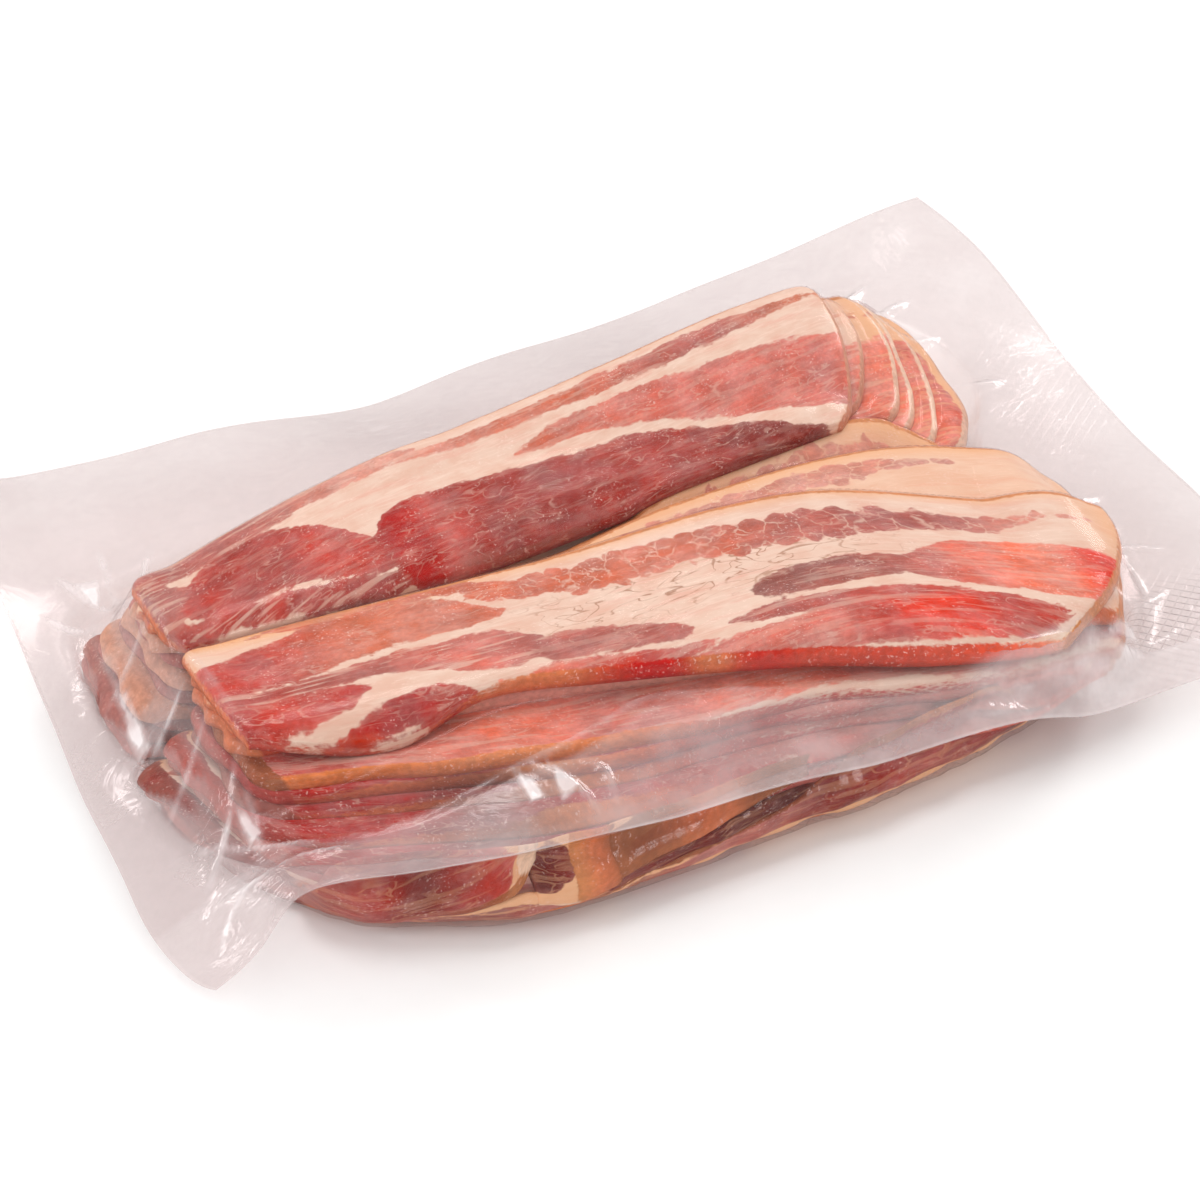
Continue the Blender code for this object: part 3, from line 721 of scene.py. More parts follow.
def rim_fields(rims, x, distances):
    """(depth, colour) of the coloured strips along a slice's edges.

    Each rim is (edge, strip width along X, colours along X)."""
    depth = np.full(x.shape, -9.0)
    colour = np.zeros(x.shape + (3,))
    for edge, width, tints in rims:
        inside = curve(width, x) - distances[edge]
        colour = np.where((inside > depth)[..., None], tinted(tints, x), colour)
        depth = np.maximum(depth, inside)
    return depth, colour


# ---------------------------------------------------------------- shader nodes


class Nodes:
    """Adds nodes to a tree and wires them in one call."""

    def __init__(self, tree):
        self.tree = tree
        self.links = tree.links

    def add(self, kind, *inputs, **settings):
        node = self.tree.nodes.new("ShaderNode" + kind)
        for key, value in settings.items():
            if key in ("label",):
                node.label = value
            elif key.startswith("in_"):
                self.feed(node.inputs[key[3:].replace("_", " ")], value)
            else:
                setattr(node, key, value)
        for socket, value in zip(node.inputs, inputs):
            if value is not None:
                self.feed(socket, value)
        return node

    def feed(self, socket, value):
        if isinstance(value, bpy.types.NodeSocket):
            self.links.new(value, socket)
        elif isinstance(value, bpy.types.Node):
            self.links.new(value.outputs[0], socket)
        else:
            socket.default_value = value

    def maths(self, operation, a, b=None, c=None, clamp=False):
        return self.add("Math", a, b, c, operation=operation, use_clamp=clamp).outputs[0]

    def step(self, value, low, high, to_low=0.0, to_high=1.0):
        return self.add("MapRange", value, low, high, to_low, to_high, interpolation_type="SMOOTHSTEP").outputs[0]

    def mix(self, share, first, second):
        node = self.add("Mix", data_type="RGBA")
        for index, value in ((0, share), (6, first), (7, second)):
            self.feed(node.inputs[index], value)
        return node.outputs[2]

    def attribute(self, name, output="Fac"):
        return self.add("Attribute", attribute_name=name).outputs[output]

    def stretched(self, vector, scale):
        return self.add("Mapping", vector, in_Scale=scale).outputs[0]

    def noise(self, vector, scale, detail=3.0, roughness=0.55, distortion=0.0):
        node = self.add("TexNoise")
        for key, value in (("Vector", vector), ("Scale", scale), ("Detail", detail), ("Roughness", roughness), ("Distortion", distortion)):
            self.feed(node.inputs[key], value)
        return node.outputs["Fac"]

    def cells(self, vector, scale, feature="DISTANCE_TO_EDGE", output="Distance"):
        node = self.add("TexVoronoi", feature=feature)
        self.feed(node.inputs["Vector"], vector)
        self.feed(node.inputs["Scale"], scale)
        return node.outputs[output]


def group(name, inputs, outputs, build):
    """A shader node group, built once: inputs are (name, type, default), outputs (name, type)."""
    if name in bpy.data.node_groups:
        return bpy.data.node_groups[name]
    tree = bpy.data.node_groups.new(name, "ShaderNodeTree")
    for label, kind, default in inputs:
        socket = tree.interface.new_socket(label, in_out="INPUT", socket_type="NodeSocket" + kind)
        if default is not None:
            socket.default_value = default
    for label, kind in outputs:
        tree.interface.new_socket(label, in_out="OUTPUT", socket_type="NodeSocket" + kind)
    nodes = Nodes(tree)
    given = tree.nodes.new("NodeGroupInput")
    result = tree.nodes.new("NodeGroupOutput")
    for label, value in build(nodes, given.outputs).items():
        nodes.feed(result.inputs[label], value)
    return tree


def use(nodes, tree, **inputs):
    node = nodes.tree.nodes.new("ShaderNodeGroup")
    node.node_tree = tree
    for label, value in inputs.items():
        nodes.feed(node.inputs[label.replace("_", " ")], value)
    return node.outputs


def lean_pattern_group():
    """Where lean meets fat: ragged edges, lobes parted by fat, streaks and thin veins."""

    def build(n, given):
        place = given["Place"]
        wide = n.noise(n.stretched(place, (0.12, 0.30, 0.5)), 1.0, 2.0, 0.5)
        fine = n.noise(n.stretched(place, (0.50, 0.62, 0.5)), 1.0, 2.0, 0.5)
        shift = n.maths("ADD", n.maths("MULTIPLY_ADD", wide, 4.0, -2.0), n.maths("MULTIPLY_ADD", fine, 1.8, -0.9))

        sway = n.add("CombineXYZ", n.noise(place, 0.33, 2.0), n.noise(n.stretched(place, (1.0, 1.0, 3.0)), 0.29, 2.0), 0.0)
        cell = n.add("VectorMath", n.stretched(place, (0.215, 0.20, 0.7)), operation="ADD")
        n.feed(cell.inputs[1], n.add("VectorMath", sway.outputs[0], (0.9, 0.9, 0.0), operation="MULTIPLY").outputs[0])
        lobe = n.maths("MULTIPLY_ADD", n.cells(cell.outputs[0], 1.0, "F1"), -4.2, 2.1)
        seam = n.step(n.cells(cell.outputs[0], 1.0), 0.005, 0.075, 0.55, 0.0)
        seam = n.maths("MULTIPLY", seam, n.step(n.noise(place, 0.21, 2.0), 0.38, 0.56))

        depth = n.maths("ADD", given["Depth"], shift)
        depth = n.maths("MULTIPLY_ADD", given["Islands"], n.maths("SUBTRACT", lobe, n.maths("MULTIPLY", shift, 0.7)), depth)
        edge = n.step(depth, -0.36, 0.42)
        heart = n.step(depth, 0.1, 2.2)

        streak = n.step(n.noise(n.stretched(place, (0.06, 0.62, 0.5)), 1.0, 2.0, 0.5), 0.50, 0.62)
        hair = n.noise(n.stretched(place, (0.85, 1.2, 0.5)), 1.0, 2.0, 0.5)
        ridge = n.maths("ABSOLUTE", n.maths("SUBTRACT", n.noise(n.stretched(place, (0.10, 0.26, 0.5)), 1.0, 2.0, 0.5, 0.7), 0.5))
        vein = n.maths("MULTIPLY", n.step(ridge, 0.004, 0.030, 1.0, 0.0), n.step(n.noise(place, 0.13, 2.0), 0.42, 0.60))
        fatty = n.maths("MAXIMUM", n.maths("MULTIPLY", streak, given["Streaks"]), n.maths("MULTIPLY", vein, 0.30))
        fatty = n.maths("MAXIMUM", fatty, n.maths("MULTIPLY", seam, given["Islands"]))
        lean = n.maths("MULTIPLY", edge, n.maths("SUBTRACT", 1.0, fatty, clamp=True))
        return {"Lean": lean, "Heart": heart, "Grain": hair}

    return group(
        "lean_pattern",
        [("Place", "Vector", None), ("Depth", "Float", 0.0), ("Islands", "Float", 0.0), ("Streaks", "Float", 0.0)],
        [("Lean", "Float"), ("Heart", "Float"), ("Grain", "Float")],
        build,
    )


def moist_flecks_group():
    """Fine pale flecks: moisture and frost on the cut face, and painted glints of the film's small wrinkles."""

    def build(n, given):
        place = given["Place"]
        dots = n.step(n.noise(n.stretched(place, (1.3, 1.6, 1.0)), 1.0, 1.0, 0.5), 0.62, 0.68)
        crossing = n.maths("ABSOLUTE", n.maths("SUBTRACT", n.noise(n.stretched(place, (0.42, 0.60, 1.0)), 1.0, 2.0, 0.5, 0.8), 0.5))
        threads = n.maths("MULTIPLY", n.step(crossing, 0.0, 0.022, 0.55, 0.0), n.step(n.noise(place, 0.45, 1.0), 0.52, 0.60))
        clumps = n.step(n.noise(place, 0.15, 3.0, 0.6), 0.44, 0.66)
        return {"Flecks": n.maths("MULTIPLY", n.maths("MULTIPLY", n.maths("MAXIMUM", dots, threads), clumps), given["Amount"])}

    return group("frost_and_glint_flecks", [("Place", "Vector", None), ("Amount", "Float", 0.5)], [("Flecks", "Float")], build)


def fat_cracks_group():
    """Fine wavy lines that run across the broad fat."""

    def build(n, given):
        place = given["Place"]
        first = n.noise(n.stretched(place, (0.05, 0.19, 0.5)), 1.0, 2.0, 0.55, 0.6)
        second = n.noise(n.stretched(place, (0.06, 0.16, 0.5)), 1.3, 1.0, 0.5, 0.8)
        lines = n.maths(
            "MAXIMUM",
            n.step(n.maths("ABSOLUTE", n.maths("SUBTRACT", first, 0.5)), 0.002, 0.019, 1.0, 0.0),
            n.step(n.maths("ABSOLUTE", n.maths("SUBTRACT", second, 0.52)), 0.002, 0.016, 1.0, 0.0),
        )
        broken = n.step(n.noise(place, 0.3, 2.0), 0.32, 0.48)
        return {"Cracks": n.maths("MULTIPLY", n.maths("MULTIPLY", lines, broken), given["Amount"])}

    return group("fat_cracks", [("Place", "Vector", None), ("Amount", "Float", 0.0)], [("Cracks", "Float")], build)


def bacon_material():
    material = bpy.data.materials.get("sliced_bacon")
    if material:
        return material
    look = bpy.context.scene.bacon_look
    material = bpy.data.materials.new("sliced_bacon")
    material.use_nodes = True
    n = Nodes(material.node_tree)
    shader = material.node_tree.nodes["Principled BSDF"]
    place = n.attribute("place_mm", "Vector")
    pattern = use(n, lean_pattern_group(), Place=place, Depth=n.attribute("lean_mm"), Islands=n.attribute("islands"), Streaks=n.attribute("streaks"))
    flecks = use(n, moist_flecks_group(), Place=place, Amount=look.flecks)["Flecks"]
    cracks = use(n, fat_cracks_group(), Place=place, Amount=n.attribute("cracks"))["Cracks"]

    slow = n.noise(place, 0.10, 4.0, 0.62)
    patch = n.noise(n.stretched(place, (0.11, 0.20, 0.5)), 1.0, 3.0, 0.55)
    tone = n.maths("MULTIPLY", n.step(patch, 0.30, 0.70, 0.82, 1.14), n.step(pattern["Grain"], 0.30, 0.70, 0.91, 1.06))
    lean = n.add("HueSaturation", in_Saturation=n.step(slow, 0.32, 0.68, 1.06, 0.88), in_Value=tone, in_Color=n.attribute("lean_colour", "Color"))
    lean = n.mix(n.step(pattern["Heart"], 0.0, 1.0, 0.10, 0.0), lean.outputs[0], linear((226, 168, 150)) + (1,))
    haze = n.step(n.noise(n.stretched(place, (0.16, 0.26, 0.5)), 1.0, 4.0, 0.62), 0.48, 0.72)
    lean = n.mix(n.maths("MULTIPLY", haze, 0.15), lean, linear((230, 184, 172)) + (1,))

    fat = n.mix(n.step(patch, 0.35, 0.68), tuple(look.fat) + (1,), tuple(look.fat_shade) + (1,))
    blush = n.step(n.noise(n.stretched(place, (0.05, 0.26, 1.0)), 1.0, 4.0, 0.65), 0.50, 0.68)
    fat = n.mix(n.maths("MULTIPLY", blush, 0.34), fat, linear((226, 158, 140)) + (1,))
    threads = n.step(n.maths("ABSOLUTE", n.maths("SUBTRACT", n.noise(n.stretched(place, (0.04, 0.42, 0.5)), 1.0, 2.0, 0.5), 0.5)), 0.0, 0.03, 1.0, 0.0)
    fat = n.mix(n.maths("MULTIPLY", threads, 0.22), fat, linear((252, 228, 212)) + (1,))
    fat = n.mix(n.maths("MULTIPLY", cracks, 0.85), fat, linear((172, 124, 98)) + (1,))
    fat = n.mix(n.attribute("warm"), fat, tuple(look.warm_fat) + (1,))

    colour = n.mix(pattern["Lean"], fat, lean)
    rough_rim = n.maths("MULTIPLY_ADD", n.noise(n.stretched(place, (0.5, 0.9, 1.0)), 1.0, 3.0), 1.6, -0.8)
    skin = n.step(n.maths("ADD", n.attribute("rim_mm"), rough_rim), -0.25, 0.35)
    tan = n.add("HueSaturation", in_Value=n.step(n.noise(place, 0.6, 3.0), 0.3, 0.7, 0.86, 1.14), in_Color=n.attribute("rim_colour", "Color"))
    colour = n.mix(n.maths("MULTIPLY", skin, 0.92), colour, tan.outputs[0])
    # Pale flecks: partly moisture and frost, partly painted glints of the film's small wrinkles.
    colour = n.mix(n.maths("MULTIPLY", flecks, 0.8), colour, linear((250, 224, 214)) + (1,))
    n.feed(shader.inputs["Base Color"], colour)
    n.feed(shader.inputs["Roughness"], n.step(pattern["Lean"], 0.0, 1.0, 0.48, 0.36))
    shader.inputs["Specular IOR Level"].default_value = 0.16

    relief = n.noise(n.stretched(place, (0.5, 1.2, 1.0)), 1.0, 3.0, 0.6)
    bump = n.add("Bump", in_Strength=0.5, in_Distance=0.0003, in_Height=relief)
    n.feed(shader.inputs["Normal"], bump.outputs[0])
    return material


def film_ripple_group():
    """Fine unevenness of drawn film: slow waves, with crumples where it is loose."""

    def build(n, given):
        where = given["Place"]
        slow = n.maths("ADD", n.noise(where, 0.045, 3.0, 0.5, 0.4), n.maths("MULTIPLY", n.noise(n.stretched(where, (0.5, 1.0, 0.3)), 0.16, 2.0, 0.5, 0.6), 0.35))
        crumple = n.noise(n.stretched(where, (1.0, 1.0, 0.4)), 0.10, 3.0, 0.5, 1.0)
        sharp = n.maths("ABSOLUTE", n.maths("SUBTRACT", crumple, 0.5))
        height = n.maths("MULTIPLY_ADD", slow, 1.0, n.maths("MULTIPLY", n.maths("MULTIPLY", sharp, -3.0), given["Crumple"]))
        return {"Height": height}

    return group("film_ripple", [("Place", "Vector", None), ("Crumple", "Float", 0.2)], [("Height", "Float")], build)


def diamond_emboss_group():
    """Raised lines that cross in small diamonds."""

    def build(n, given):
        parts = n.add("SeparateXYZ", given["Place"])
        lines = []
        for sign in (1.0, -1.0):
            slant = n.maths("MULTIPLY_ADD", parts.outputs[1], 1.2 * sign, parts.outputs[0])
            wave = n.maths("ABSOLUTE", n.maths("SINE", n.maths("MULTIPLY", slant, math.pi / 3.8)))
            lines.append(n.step(wave, 0.0, 0.42, 1.0, 0.0))
        return {"Lines": n.maths("MAXIMUM", *lines)}

    return group("diamond_emboss", [("Place", "Vector", None)], [("Lines", "Float")], build)


def film_material(name, embossed):
    material = bpy.data.materials.get(name)
    if material:
        return material
    look = bpy.context.scene.film_look
    material = bpy.data.materials.new(name)
    material.use_nodes = True
    n = Nodes(material.node_tree)
    shader = material.node_tree.nodes["Principled BSDF"]
    output = material.node_tree.nodes["Material Output"]
    place = n.attribute("place_mm", "Vector")
    loose = n.attribute("loose")
    ripple = use(n, film_ripple_group(), Place=place, Crumple=n.attribute("crumple"))["Height"]
    cloud = n.step(n.noise(place, 0.05, 4.0), 0.3, 0.7, 0.75, 1.25)
    haze = n.maths("MULTIPLY", n.step(loose, 0.0, 1.0, look.haze_clinging, look.haze_loose), cloud)
    weld = n.step(n.attribute("rim_mm"), 0.2, 1.1, 1.0, 0.0)
    haze = n.maths("MULTIPLY_ADD", weld, 0.12, haze)
    # Painted highlight: along the creases' crests and in the highlight patches the film is made cloudier and whiter,
    # partly the creased film's own cloudiness, partly standing in for the lamps' reflections.
    fold = n.maths("MULTIPLY", n.attribute("fold"), n.step(n.noise(place, 0.11, 3.0), 0.30, 0.62, 0.30, 1.0), clamp=True)
    haze = n.maths("MULTIPLY_ADD", fold, look.haze_fold, haze)
    # Painted shade: the slack film on the left is greyed, standing in for the shadowed floor seen through it.
    haze = n.maths("MULTIPLY_ADD", n.maths("MULTIPLY", n.attribute("slack_and_shade"), loose), look.haze_smoky, haze)
    # Front flange: haze that is partly a painted sheen of the lamps.
    milk_and_sheen = n.maths("MULTIPLY", n.attribute("milk_and_sheen"), cloud)
    haze = n.maths("MULTIPLY_ADD", milk_and_sheen, look.haze_flange, haze)
    height = ripple
    if embossed:
        lines = n.maths("MULTIPLY", use(n, diamond_emboss_group(), Place=place)["Lines"], n.attribute("emboss"))
        height = n.maths("MULTIPLY_ADD", lines, 0.5, ripple)
        haze = n.maths("MULTIPLY_ADD", n.maths("MULTIPLY", lines, loose), look.haze_emboss, haze)
    bump = n.add("Bump", in_Strength=0.7, in_Distance=0.0005, in_Height=height)
    facing = n.add("LayerWeight", 0.5, bump.outputs[0]).outputs["Facing"]
    head_on = ((look.bend - 1) / (look.bend + 1)) ** 2
    glint = n.maths("MULTIPLY_ADD", n.maths("POWER", facing, 5.0), 1 - head_on, head_on)
    mirror = n.maths("MULTIPLY", glint, n.step(loose, 0.0, 1.0, 0.6, 1.8), clamp=True)
    seen = n.maths("MULTIPLY_ADD", mirror, n.maths("SUBTRACT", 1.0, haze), haze, clamp=True)
    n.feed(shader.inputs["Metallic"], n.maths("DIVIDE", mirror, n.maths("ADD", seen, 0.0001), clamp=True))
    # Where crest highlights and the front flange's sheen are painted, the haze colour turns near white.
    n.feed(shader.inputs["Base Color"], n.mix(n.maths("MAXIMUM", fold, milk_and_sheen), tuple(look.haze_colour) + (1,), (0.97, 0.91, 0.915, 1)))
    n.feed(shader.inputs["Roughness"], n.step(loose, 0.0, 1.0, 0.11, 0.15))
    shader.inputs["Specular IOR Level"].default_value = 0.3
    n.feed(shader.inputs["Normal"], bump.outputs[0])
    # The tint and the haze colour are darkened pink: partly the film's own colour, partly painted shade and the meat's
    # pink light under the film.
    clear = n.add("BsdfTransparent", tuple(look.tint) + (1,))
    both = n.add("MixShader", seen, clear.outputs[0], shader.outputs[0])
    n.feed(output.inputs["Surface"], both.outputs[0])
    return material


# ---------------------------------------------------------------- settings


class BaconLook(bpy.types.PropertyGroup):
    rows_along: IntProperty(name="Rows along", description="Grid cells along a top slice", default=190, min=20)
    rows_across: IntProperty(name="Rows across", description="Grid cells across a top slice", default=46, min=6)
    fat: FloatVectorProperty(name="Fat", description="Cream of the fat", subtype="COLOR", size=3, default=linear((231, 203, 184)))
    fat_shade: FloatVectorProperty(name="Fat shade", description="Pinker fat", subtype="COLOR", size=3, default=linear((225, 187, 166)))
    warm_fat: FloatVectorProperty(name="Warm fat", description="Smoked fat near the rind", subtype="COLOR", size=3, default=linear((234, 176, 126)))
    rind: FloatVectorProperty(name="Rind", description="Orange-tan skin edge", subtype="COLOR", size=3, default=linear((205, 122, 74)))
    # Partly painted glints of the film's small wrinkles, on the cut face.
    flecks: FloatProperty(name="Flecks", description="Moisture flecks on the cut face", subtype="FACTOR", default=0.55, min=0, max=1)


class FilmLook(bpy.types.PropertyGroup):
    cell: FloatProperty(name="Cell", description="Side of the film's grid cells", unit="LENGTH", default=0.00092, min=0.0005)
    haze_clinging: FloatProperty(name="Haze, clinging", description="Milkiness where the film lies on meat", subtype="FACTOR", default=0.012, min=0, max=1)
    haze_loose: FloatProperty(name="Haze, loose", description="Milkiness where the film is free", subtype="FACTOR", default=0.17, min=0, max=1)
    # Painted highlight along the creases' crests, as whitish haze.
    haze_fold: FloatProperty(name="Haze, folds", description="Milkiness along the creases' crests", subtype="FACTOR", default=0.46, min=0, max=1)
    # Partly a painted sheen of the lamps on the front flange.
    haze_flange: FloatProperty(name="Haze, front flange", description="Milkiness of the flange along the front", subtype="FACTOR", default=0.42, min=0, max=1)
    # Painted shade: greys the slack film on the left.
    haze_smoky: FloatProperty(name="Haze, left flange", description="Greyness of the slack film on the left", subtype="FACTOR", default=0.24, min=0, max=1)
    haze_emboss: FloatProperty(name="Haze, embossed", description="Milkiness of the embossed lines", subtype="FACTOR", default=0.20, min=0, max=1)
    # Grey-pink: partly painted shade and the meat's pink light under the film.
    haze_colour: FloatVectorProperty(name="Haze colour", description="Colour of the milkiness", subtype="COLOR", size=3, default=(0.66, 0.57, 0.565))
    tint: FloatVectorProperty(name="Tint", description="What the film lets through", subtype="COLOR", size=3, default=(0.970, 0.938, 0.935))
    bend: FloatProperty(name="Refractive index", description="Of the film, for its gloss", default=1.45, min=1.0)


class StageLook(bpy.types.PropertyGroup):
    azimuth: FloatProperty(name="Azimuth", description="Camera direction in degrees, 0 looks along +Y", default=-25.77)
    elevation: FloatProperty(name="Elevation", description="Camera height in degrees", default=39.67)
    distance: FloatProperty(name="Distance", description="From the camera to what it looks at", unit="LENGTH", default=0.9404)
    lens: FloatProperty(name="Lens", description="Focal length in millimetres", default=111.1)
    floor: FloatVectorProperty(name="Floor", description="Floor colour", subtype="COLOR", size=3, default=(0.93, 0.93, 0.93))
    ambient: FloatProperty(name="Ambient", description="Strength of the light from all round", default=0.81, min=0)


# ---------------------------------------------------------------- operators


def painted(piece, muscles, rims, places, x, across, distances, used, cracks=0.0, warm=0.0):
    """Stores all that the bacon's material reads, for the two faces of a slice."""
    depth, colour, islands, streaks = muscle_fields(muscles, x, across)
    rim_depth, rim_colour = rim_fields(rims, x, distances)
    still = np.zeros_like(depth)
    fields = {
        "lean_mm": depth, "lean_colour": colour, "islands": islands, "streaks": streaks,
        "cracks": still + cracks, "warm": still + warm, "rim_mm": rim_depth, "rim_colour": rim_colour,
    }
    for name, values in fields.items():
        flat = values.reshape((-1,) + values.shape[2:])
        paint(piece, name, np.concatenate([flat, flat])[used])
    paint(piece, "place_mm", np.concatenate([place.reshape(-1, 3) for place in places])[used])


RIND_RIM = ("back", [(-140, 2.2), (-20, 2.8), (115, 3.2)], [(-140, "rind"), (115, "rind")])
LEFT_RIM = ("left", [(-140, 0.5), (115, 0.5)], [(-140, "tan"), (115, "tan")])
# The tints of the left ends, from the third slice down.
LEFT_TINTS = {
    "back": ("dusk", "mauve", "dusk", "plum", "dusk", "mauve", "plum", "mauve", "plum"),
    "front": ("tan", "umber", "deep", "brown", "deep", "mauve", "dark", "mauve", "dark"),
}
RIGHT_RIM = ("right", [(-140, 1.5), (115, 1.5)], [(-140, "orange"), (115, "rind")])
PALE_RIGHT_RIM = ("right", [(-140, 1.6), (82, 1.6), (120, 2.6)], [(-140, "cream"), (84, "dusk"), (100, "cream"), (120, "dusk")])
CUT_RIM = ("front", [(-140, 1.0), (115, 1.0)], [(-140, "tan"), (-60, "orange"), (0, "tan"), (60, "orange"), (115, "orange")])
UNDER_RIM = (
    "front",
    [(-121, 0.2), (-104, 0.2), (-90, 0.7), (-66, 1.2), (-52, 2.6), (-40, 1.6), (-10, 1.2), (10, 0.3), (104, 0.3)],
    [(-121, "dark"), (-96, "tan"), (-66, "umber"), (-52, "rind"), (-40, "orange"), (-10, "ember"), (104, "coral")],
)
FAN_CUT_RIM = ("front", [(-120, 4.0), (-40, 3.0), (115, 1.2)], [(-120, "ember"), (-80, "tan"), (-60, "pale"), (0, "pale"), (30, "ember"), (115, "orange")])
TOP_CUT_RIM = (
    "front",
    [(-120, 0.3), (-60, 0.4), (-52, 1.2), (-30, 1.5), (20, 1.9), (50, 1.8), (66, 1.0), (80, 0.3)],
    [(-120, "red"), (-62, "tan"), (-40, "tan"), (-30, "ember"), (-14, "ember"), (-10, "tan"), (-5, "tan"), (0, "ember"), (15, "ember"), (40, "ember"), (70, "coral"), (80, "cream")],
)
SHELF_RIM = ("front", [(-120, 1.8), (-80, 1.6), (-50, 2.6), (-30, 2.2), (-10, 0.9), (115, 0.6)], [(-120, "orange"), (-30, "orange"), (0, "ember"), (115, "tan")])


class BACON_OT_slices(bpy.types.Operator):
    """Lays the slices of both piles"""

    bl_idname = "bacon.slices"
    bl_label = "Bacon slices"

    def execute(self, context):
        look = context.scene.bacon_look
        maps = pack_maps()
        for number, piece in enumerate(maps.pieces):
            pile, layer = piece["name"].split("_")
            hero = int(layer) <= (5 if pile == "front" else 2)
            rows = (look.rows_along, look.rows_across) if hero else (look.rows_along * 5 // 8, look.rows_across * 5 // 8)
            self.lay(maps, piece, pile, int(layer), number, rows)
        return {"FINISHED"}

    def lay(self, maps, piece, pile, layer, number, rows):
        u = edge_steps(0.225, rows[0])
        v = edge_steps(0.050, rows[1])
        share_along, share_across = np.meshgrid(u, v)
        left, right = outline(piece, share_across)
        x = left + (right - left) * share_along
        front, back = curve(piece["front"], x) + piece["inset"], curve(piece["back"], x)
        y = front + (back - front) * share_across
        thick = curve(piece["thickness"], x)
        distances = {"left": x - left, "right": right - x, "front": y - front, "back": back - y}
        rise = 1.0
        for edge, reach in PRESSED_EDGES.items():
            flat = piece["pressed"] and edge in ("front", "left")
            reach, power = (reach * 2.6, 0.85) if flat else (reach, 0.5)
            rise = rise * (1 - (1 - np.clip(distances[edge] / reach, 0, 1)) ** 2.5) ** power
        floor = sampled(piece["floor"], x, y)
        surfaces = []
        for z in (floor + 0.00008 + thick * rise, floor + 0.00008 * rise):
            px, py = bellied(x, y, z, maps.margin)
            surfaces.append(placed(px, py, z))
        points, faces, used = closed_grid(*surfaces)
        slab = mesh_piece(f"slice_{piece['name']}", points, faces, bacon_material())

        x_mm, from_back, from_front = x * 1000, (back - y) * 1000, (y - front) * 1000
        across, cracks, rims = from_back, 0.0, [RIND_RIM, LEFT_RIM, RIGHT_RIM, CUT_RIM]
        if layer == 1:
            muscles = BACK_TOP_MUSCLES if pile == "back" else FRONT_TOP_MUSCLES
            rims = [RIND_RIM, LEFT_RIM, RIGHT_RIM] + ([TOP_CUT_RIM] if pile == "front" else [])
            if pile == "front":
                cracks = np.exp(-(((x_mm - 2) / 48) ** 4) - ((across - 25.5) / 8.5) ** 4)
        elif pile == "front" and layer <= 3:
            muscles, rims = FAN_MUSCLES, [RIND_RIM, LEFT_RIM, RIGHT_RIM, FAN_CUT_RIM]
        elif pile == "front" and layer == 4:
            muscles, across, rims = SHELF_MUSCLES, from_front, [RIND_RIM, LEFT_RIM, RIGHT_RIM, SHELF_RIM]
        elif pile == "front" and layer <= 8:
            muscles, across, rims = UNDER_MUSCLES, from_front, [RIND_RIM, LEFT_RIM, RIGHT_RIM, UNDER_RIM]
        elif pile == "back":
            muscles = BACK_END_MUSCLES
        else:
            muscles = streaky_muscles(np.random.default_rng(number + 3), 52.0)
            across = from_back * 52.0 / (from_back + from_front)
        if pile == "back":
            rims[2] = PALE_RIGHT_RIM
        if layer > 2:
            tint = LEFT_TINTS[pile][layer - 3]
            reach = 9.0 if pile == "back" else 4.5
            rims = [("left", [(-140, reach + 2), (-112, reach), (-104, 0.0)], [(-140, tint), (-100, tint)])] + rims
        warm = 0.55 * eased(1 - np.minimum(distances["left"], distances["right"]) * 1000 / 3.0)
        if pile == "front" and layer < 4:
            warm = np.maximum(warm, 0.7 * eased((x_mm - 92) / 16))
        if pile == "front" and layer in (2, 3):
            warm = np.maximum(warm, 0.32 + 0.68 * eased(1 - from_back / 10.0))
        if pile == "front":
            warm = np.maximum(warm, 0.85 * eased(1 - from_back / 7.5) + 0.5 * eased(1 - from_back / 14) * eased((-40 - x_mm) / 40))
        elif layer > 1:
            warm = np.maximum(warm, 0.8 * eased((x_mm - 82) / 16))
        warm = np.minimum(np.maximum(warm, 0.5 * eased(1 - from_back / 6.0)), 1.0)
        place = [np.stack([x_mm, across, 17.0 * number + height * 1400], -1) for height in (thick * (1 - rise), thick)]
        painted(slab, muscles, rims, place, x_mm, across, {k: d * 1000 for k, d in distances.items()}, used, cracks, warm)
